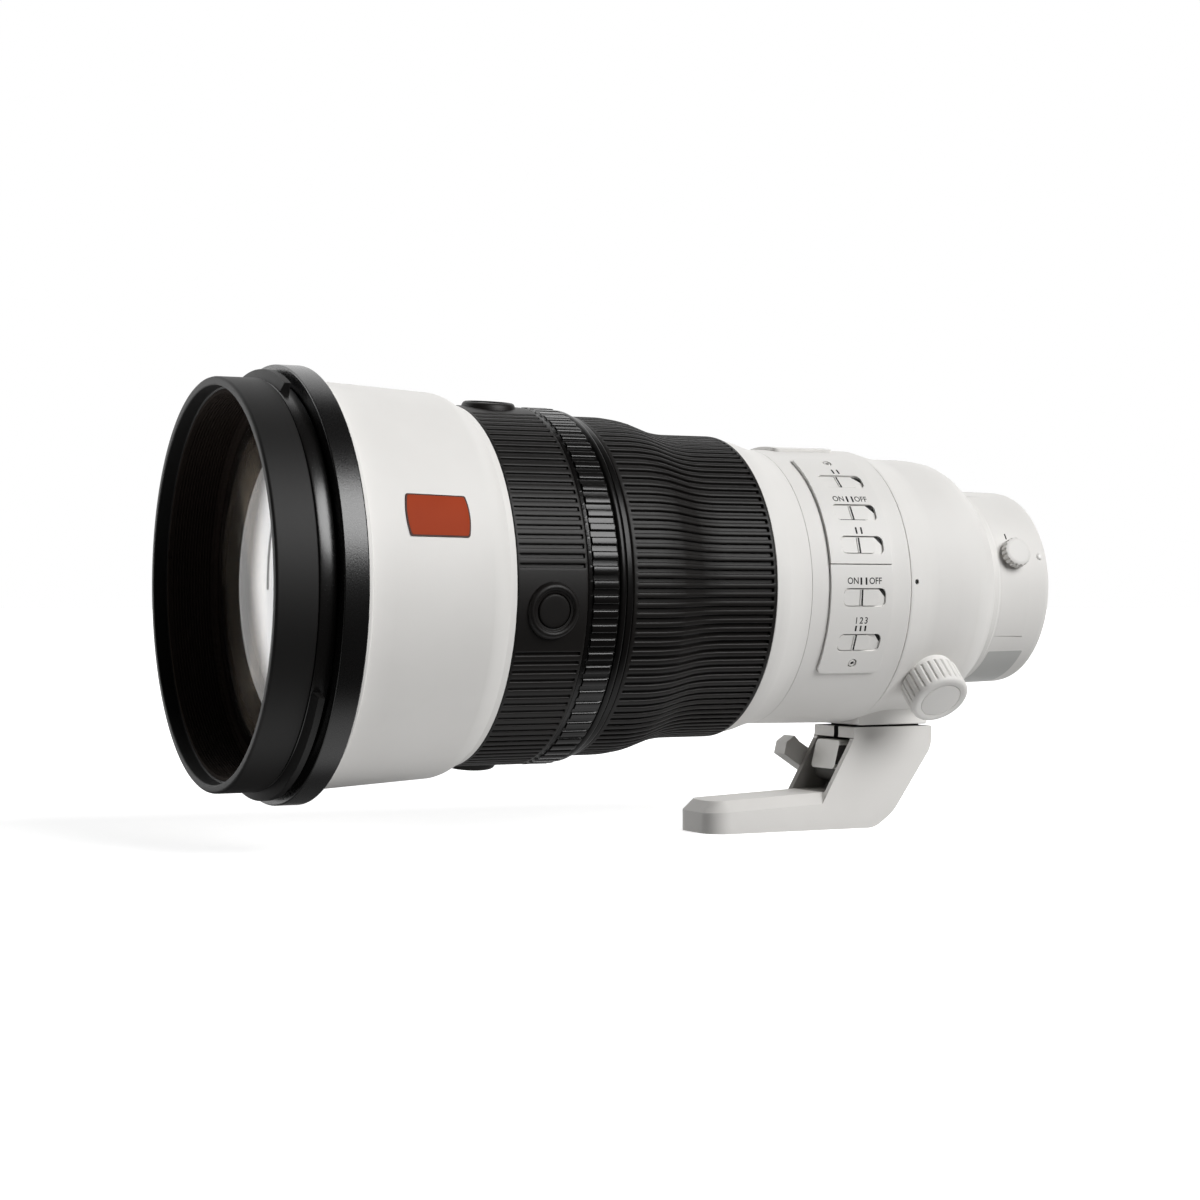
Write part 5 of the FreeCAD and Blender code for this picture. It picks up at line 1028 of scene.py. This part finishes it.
KNOB_OUTLINE = (
    (0.0, 50.75), (6.25, 50.75, 0.05), (6.45, 50.45, 0.04), (6.65, 50.75, 0.05), (8.35, 50.9, 0.6),
    (9.25, 50.2, 0.5), (9.3, 48.9, 0.1), (9.3, 48.6), (9.3, 45.0), (9.3, 42.2), (9.2, 41.8, 0.1),
    (3.0, 41.8, 0.05), (3.0, 38.0, 0.05), (0.0, 38.0))
KNOB_GROOVES, KNOB_ROWS = 26, 12


def build_knob():
    bm = radial_turned(KNOB_OUTLINE, 0.0, KNOB_GROOVES * KNOB_ROWS)
    groove(bm, KNOB_GROOVES, 9.15, 41.7, 49.9, 0.5, 2.6, 1.2)
    bmesh.ops.translate(bm, vec=(KNOB_X, 0, 0), verts=bm.verts)
    place_piece("lock_knob_shell", at_angle(bm, KNOB_ANGLE), "collar_lock", WHITE_PLASTIC,
                ("lock_knob",), sharp=50.0)


# Rear barrel, drawer, mount

REAR_BARREL_OUTLINE = (
    (-60.0, 33.45), (-60.0, 36.6, 0.1), (-30.7, 36.6, 0.1), (-30.7, 31.6), (-20.0, 31.6, 0.25),
    (-19.6, 31.1, 0.15), (-1.6, 30.6, 0.6), (-0.55, 30.3, 0.15), (-0.55, 29.65), (-1.05, 29.65),
    (-1.05, 29.3), (-2.0, 29.3), (-2.0, 22.5), (-7.6, 22.5), (-7.6, 28.0), (-32.0, 28.0),
    (-32.0, 30.0), (-46.0, 30.0), (-46.0, 33.45))
DRAWER = (-18.8, -8.2)
DRAWER_ANGLE = 19.0
WHEEL_X, WHEEL_GROOVES, WHEEL_ROWS = -13.5, 18, 8
WHEEL_OUTLINE = (
    (0.0, 34.45), (3.55, 34.45, 0.35), (4.7, 34.0, 0.35), (4.7, 33.6), (4.7, 31.8), (4.4, 31.35, 0.2),
    (1.6, 31.35, 0.05), (1.6, 28.7, 0.05), (0.0, 28.7))
PANE_OUTLINE = ((-15.3, 0.02), (-15.3, 20.25, 0.1), (-13.3, 20.25, 0.1), (-13.3, 0.02))
INDEX_OUTLINE = ((0.0, 31.25), (0.7, 31.2, 0.3), (1.15, 30.8, 0.2), (1.15, 29.8))
SEAL_OUTLINE = ((-1.0, 29.3), (-1.0, 29.6, 0.08), (-0.45, 29.6, 0.08), (-0.45, 29.3))
CONTACTS, CONTACT_START, CONTACT_ARC = 10, -118.0, 56.0
CONTACT_X, CONTACT_RING, CONTACT_RADIUS = 3.62, 18.6, 0.62


def build_rear():
    bm = bmesh.new()
    draw_outline(bm, REAR_BARREL_OUTLINE)
    spin_round(bm)
    slot = at_angle(block(DRAWER[0] - 0.1, DRAWER[1] + 0.1, -23.5, 23.5, -4.6, 34.0), DRAWER_ANGLE)
    bm = combine(bm, [slot], "DIFFERENCE")
    place_piece("rear_barrel_shell", bm, "barrel", WHITE_PAINT, ("rear_barrel",), sharp=30.0)
    build_drawer()
    label = tile(-18.6, -5.5, -84.0, -41.0, 30.3, 30.95, 0.6, reference=31.0)
    for vert in label.verts:
        radius = math.hypot(vert.co.y, vert.co.z)
        top = 31.12 + (vert.co.x + 19.6) * (30.62 - 31.12) / 17.7
        if radius > 30.6:
            grow = (top + 0.02) / radius
            vert.co.y *= grow
            vert.co.z *= grow
    place_piece("bare_label", label, "barrel", LABEL_GREY)
    bump = at_angle(radial_turned(INDEX_OUTLINE, -3.25, 32), 18.0)
    place_piece("mount_index", bump, "barrel", INDEX_WHITE)
    mark = tile(-14.75, -14.25, 28.6, 32.4, 30.8, 31.03, 0.15, reference=31.0)
    place_piece("drawer_tick", mark, "drawer", INK_AND_PAINTED_SHADE)


def build_drawer():
    dressed("filter_drawer", "drawer", WHITE_PAINT, 0.12)
    bm = radial_turned(WHEEL_OUTLINE, 0.0, WHEEL_GROOVES * WHEEL_ROWS)
    groove(bm, WHEEL_GROOVES, 4.5, 31.4, 34.1, 0.6)
    bmesh.ops.translate(bm, vec=(WHEEL_X, 0, 0), verts=bm.verts)
    place_piece("drawer_wheel", at_angle(bm, DRAWER_ANGLE), "drawer_lock", WHITE_PLASTIC,
                ("filter_wheel",), sharp=50.0)
    pane = bmesh.new()
    draw_outline(pane, PANE_OUTLINE)
    spin_round(pane, GLASS_STEPS)
    place_piece("filter_pane", pane, "drawer", FILTER_GLASS, ("filter_glass",))


def build_mount():
    dressed("bayonet_mount", "barrel", MOUNT_METAL, 0.15)
    dressed("mount_screws", "barrel", STEEL)
    turned("seal_ring", "barrel", RUBBER, SEAL_OUTLINE, ("mount_seal",), steps=128)
    dressed("contact_block", "barrel", BLACK_INSIDE_AND_GAP_SHADE)
    pins = []
    for number in range(1, CONTACTS + 1):
        pin = bmesh.new()
        bmesh.ops.create_uvsphere(pin, u_segments=16, v_segments=8, radius=CONTACT_RADIUS)
        bmesh.ops.scale(pin, vec=(0.5, 1, 1), verts=pin.verts)
        bmesh.ops.translate(pin, vec=(CONTACT_X, 0, CONTACT_RING), verts=pin.verts)
        pins.append(at_angle(pin, CONTACT_START + number * CONTACT_ARC / (CONTACTS + 1)))
    place_piece("contact_pins", joined(pins), "barrel", CONTACT_GOLD)
    lens_body("rear_glass_shape", INNER_GLASS, -36.0, 4.0, 29.9, 90.0, -220.0, "rear_element")
    dressed("rear_baffle", "barrel", BLACK_INSIDE_AND_GAP_SHADE)


# Finishes of the CAD pieces that stay, and of the hidden ones

def dress_inner_nodes():
    rows = {
        BLACK_INSIDE_AND_GAP_SHADE: ("collar_bushes", "front_retainer", "front_cell", "button_section", "iris_base",
                       "stabiliser_stage", "stabiliser_cell"),
        INNER_METAL: ("focus_ring", "chassis_tube", "front_focus_carriage", "rear_focus_carriage"),
        STEEL: ("guide_rods", "iris_blades"),
        INNER_GLASS: ("front_focus_glass", "rear_focus_glass", "stabiliser_glass"),
        BOARD: ("main_board",),
    }
    shown = {node: finish for finish, nodes in rows.items() for node in nodes}
    for node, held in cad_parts.items():
        if node in shown or held.hide_render:
            held.data.materials.clear()
            held.data.materials.append(shown.get(node, WHITE_PAINT))


# Floor, light, camera; distances here are metres, and a pair is where a change of light starts and ends

FLOOR_HEIGHT = -0.0754
FLOOR_SIZE = 30.0
FLOOR_TONE, FLOOR_SEEN, BACKDROP_SEEN = 0.80, 0.62, 1.0
FLOOR_FRONT, FLOOR_FRONT_GLOW = (-0.088, -0.055), 0.03
UNDER_FRONT, UNDER_BACK, UNDER_NOSE = (-0.038, -0.022), (0.07, 0.03), (-0.19, -0.225)
UNDER_SHADE, NOSE_SHADE = 0.6, 0.9
FLOOR_BEHIND, FLOOR_DIM = (0.1, 0.2), (0.2, 0.0)
FAN_X, FAN_Y = 0.25, 0.05
FLOOR_STRIP = ((-0.35, -0.53), (-0.9, -0.75))
BACK_Y, SIDE_X, SIDE_Z = (0.3, 0.52), (0.18, 0.34), (0.22, 0.4)
STRIP_X, STRIP_TOP = ((-0.33, -0.47), (-0.67, -0.6)), (0.5, 0.35)
SEAM_X = ((-0.474, -0.484), (-0.500, -0.490))
BACK_GLOW, DIM_GLOW, STRIP_GLOW, SEAM_GLOW, AIR_GLOW = 1.3, 0.80, 3.6, -3.3, 0.03
KEY_SOURCE, KEY_STRENGTH, KEY_SPREAD = (0.37, -0.76, 0.55), 3.35, 37.0
CAMERA_LENS, CAMERA_PLACE, CAMERA_AIM = 74.73, (-0.473062, -0.674985, -0.004185), (0.4389, 0.8986, 0.0)


def smooth_step(tree, value, ends, low=0.0, high=1.0):
    step = add(tree, "ShaderNodeMapRange", interpolation_type="SMOOTHSTEP")
    step.inputs["From Min"].default_value, step.inputs["From Max"].default_value = ends
    step.inputs["To Min"].default_value = low
    step.inputs["To Max"].default_value = high
    tree.links.new(value, step.inputs["Value"])
    return step.outputs["Result"]


def calculate(tree, operation, first, second):
    made = add(tree, "ShaderNodeMath", operation=operation)
    for socket, value in zip(made.inputs, (first, second)):
        if isinstance(value, float):
            socket.default_value = value
        else:
            tree.links.new(value, socket)
    return made.outputs["Value"]


def sums_of(tree):
    """The tools that the floor and the backdrop are worked out with."""
    return [partial(smooth_step, tree)] + [partial(calculate, tree, operation)
                                           for operation in ("MULTIPLY", "ADD", "SUBTRACT", "DIVIDE")]


def directions(tree, output):
    place = add(tree, "ShaderNodeTexCoord")
    split = add(tree, "ShaderNodeSeparateXYZ")
    tree.links.new(place.outputs[output], split.inputs["Vector"])
    return split.outputs["X"], split.outputs["Y"], split.outputs["Z"]


def build_floor():
    """A pale floor; the light that it throws back is brightest beside the part and fades to the front."""
    bm = bmesh.new()
    bmesh.ops.create_grid(bm, x_segments=2, y_segments=2, size=FLOOR_SIZE)
    bmesh.ops.translate(bm, vec=(0, 0, FLOOR_HEIGHT), verts=bm.verts)
    floor = linked("studio_floor", to_mesh("studio_floor", bm))
    made, tree, shader = new_finish("pale_floor")
    shader.inputs["Base Color"].default_value = (FLOOR_TONE, FLOOR_TONE, FLOOR_TONE, 1.0)
    shader.inputs["Roughness"].default_value = 1.0
    shader.inputs["Specular IOR Level"].default_value = 0.0
    shader.inputs["Emission Color"].default_value = (1.0, 1.0, 1.0, 1.0)
    shader.inputs["Emission Strength"].default_value = FLOOR_SEEN
    step, times, plus, less, over = sums_of(tree)
    x, y, z = directions(tree, "Object")
    under = times(step(y, UNDER_FRONT), step(y, UNDER_BACK))
    shade = times(under, step(x, UNDER_NOSE, UNDER_SHADE, NOSE_SHADE))
    near = less(step(y, FLOOR_FRONT, FLOOR_FRONT_GLOW), shade)
    behind = step(y, FLOOR_BEHIND)
    side = over(plus(x, FAN_X), plus(y, FAN_Y))
    dimmed = times(behind, step(side, FLOOR_DIM, 0.0, 1.0 - DIM_GLOW))
    strip = times(step(side, FLOOR_STRIP[0]), step(side, FLOOR_STRIP[1]))
    bright = times(times(behind, strip), STRIP_GLOW)
    glow = add(tree, "ShaderNodeEmission")
    tree.links.new(plus(less(near, dimmed), bright), glow.inputs["Strength"])
    path = add(tree, "ShaderNodeLightPath")
    mix = add(tree, "ShaderNodeMixShader")
    tree.links.new(path.outputs["Is Camera Ray"], mix.inputs["Fac"])
    tree.links.new(glow.outputs["Emission"], mix.inputs[1])
    tree.links.new(shader.outputs["BSDF"], mix.inputs[2])
    tree.links.new(mix.outputs["Shader"], tree.nodes["Material Output"].inputs["Surface"])
    floor.data.materials.append(made)


def build_air():
    """A white backdrop to look at; the light comes from its back part, and the front is a dark room."""
    world = bpy.data.worlds.new("studio_air")
    bpy.context.scene.world = world
    world.use_nodes = True
    tree = world.node_tree
    sky = tree.nodes["Background"]
    sky.inputs["Color"].default_value = (1.0, 1.0, 1.0, 1.0)
    step, times, plus, less, over = sums_of(tree)
    x, y, z = directions(tree, "Generated")
    side = calculate(tree, "MAXIMUM", step(x, SIDE_X), step(z, SIDE_Z))
    wide = plus(times(side, BACK_GLOW - DIM_GLOW), DIM_GLOW)
    strip = times(step(x, STRIP_X[0]), step(x, STRIP_X[1]))
    seam = times(step(x, SEAM_X[0]), step(x, SEAM_X[1]))
    lit = plus(times(strip, STRIP_GLOW), times(seam, SEAM_GLOW))
    glow = plus(wide, times(lit, step(z, STRIP_TOP)))
    thrown = plus(times(step(y, BACK_Y), glow), AIR_GLOW)
    path = add(tree, "ShaderNodeLightPath")
    choose = add(tree, "ShaderNodeMapRange")
    choose.inputs["To Max"].default_value = BACKDROP_SEEN
    tree.links.new(thrown, choose.inputs["To Min"])
    tree.links.new(path.outputs["Is Camera Ray"], choose.inputs["Value"])
    tree.links.new(choose.outputs["Result"], sky.inputs["Strength"])


def build_key_light():
    """One wide soft light from the front right, above."""
    lamp = bpy.data.lights.new("key_light", "SUN")
    lamp.energy = KEY_STRENGTH
    lamp.angle = math.radians(KEY_SPREAD)
    holder = linked("key_light", lamp)
    holder.rotation_euler = (-Vector(KEY_SOURCE)).to_track_quat("-Z", "Y").to_euler()


def build_camera():
    camera = bpy.data.cameras.new("photo_camera")
    camera.sensor_width = 36.0
    camera.lens = CAMERA_LENS
    camera.clip_start = 0.05
    camera.clip_end = 20.0
    holder = linked("photo_camera", camera)
    holder.location = CAMERA_PLACE
    holder.rotation_euler = Vector(CAMERA_AIM).to_track_quat("-Z", "Y").to_euler()
    bpy.context.scene.camera = holder
    bpy.context.scene.view_settings.view_transform = "Standard"


build_front()
build_front_barrel()
build_grip()
build_function_ring()
build_focus_ring()
build_middle()
build_panels()
build_sliders()
build_marks()
build_collar()
build_knob()
build_rear()
build_mount()
dress_inner_nodes()
build_floor()
build_air()
build_key_light()
build_camera()
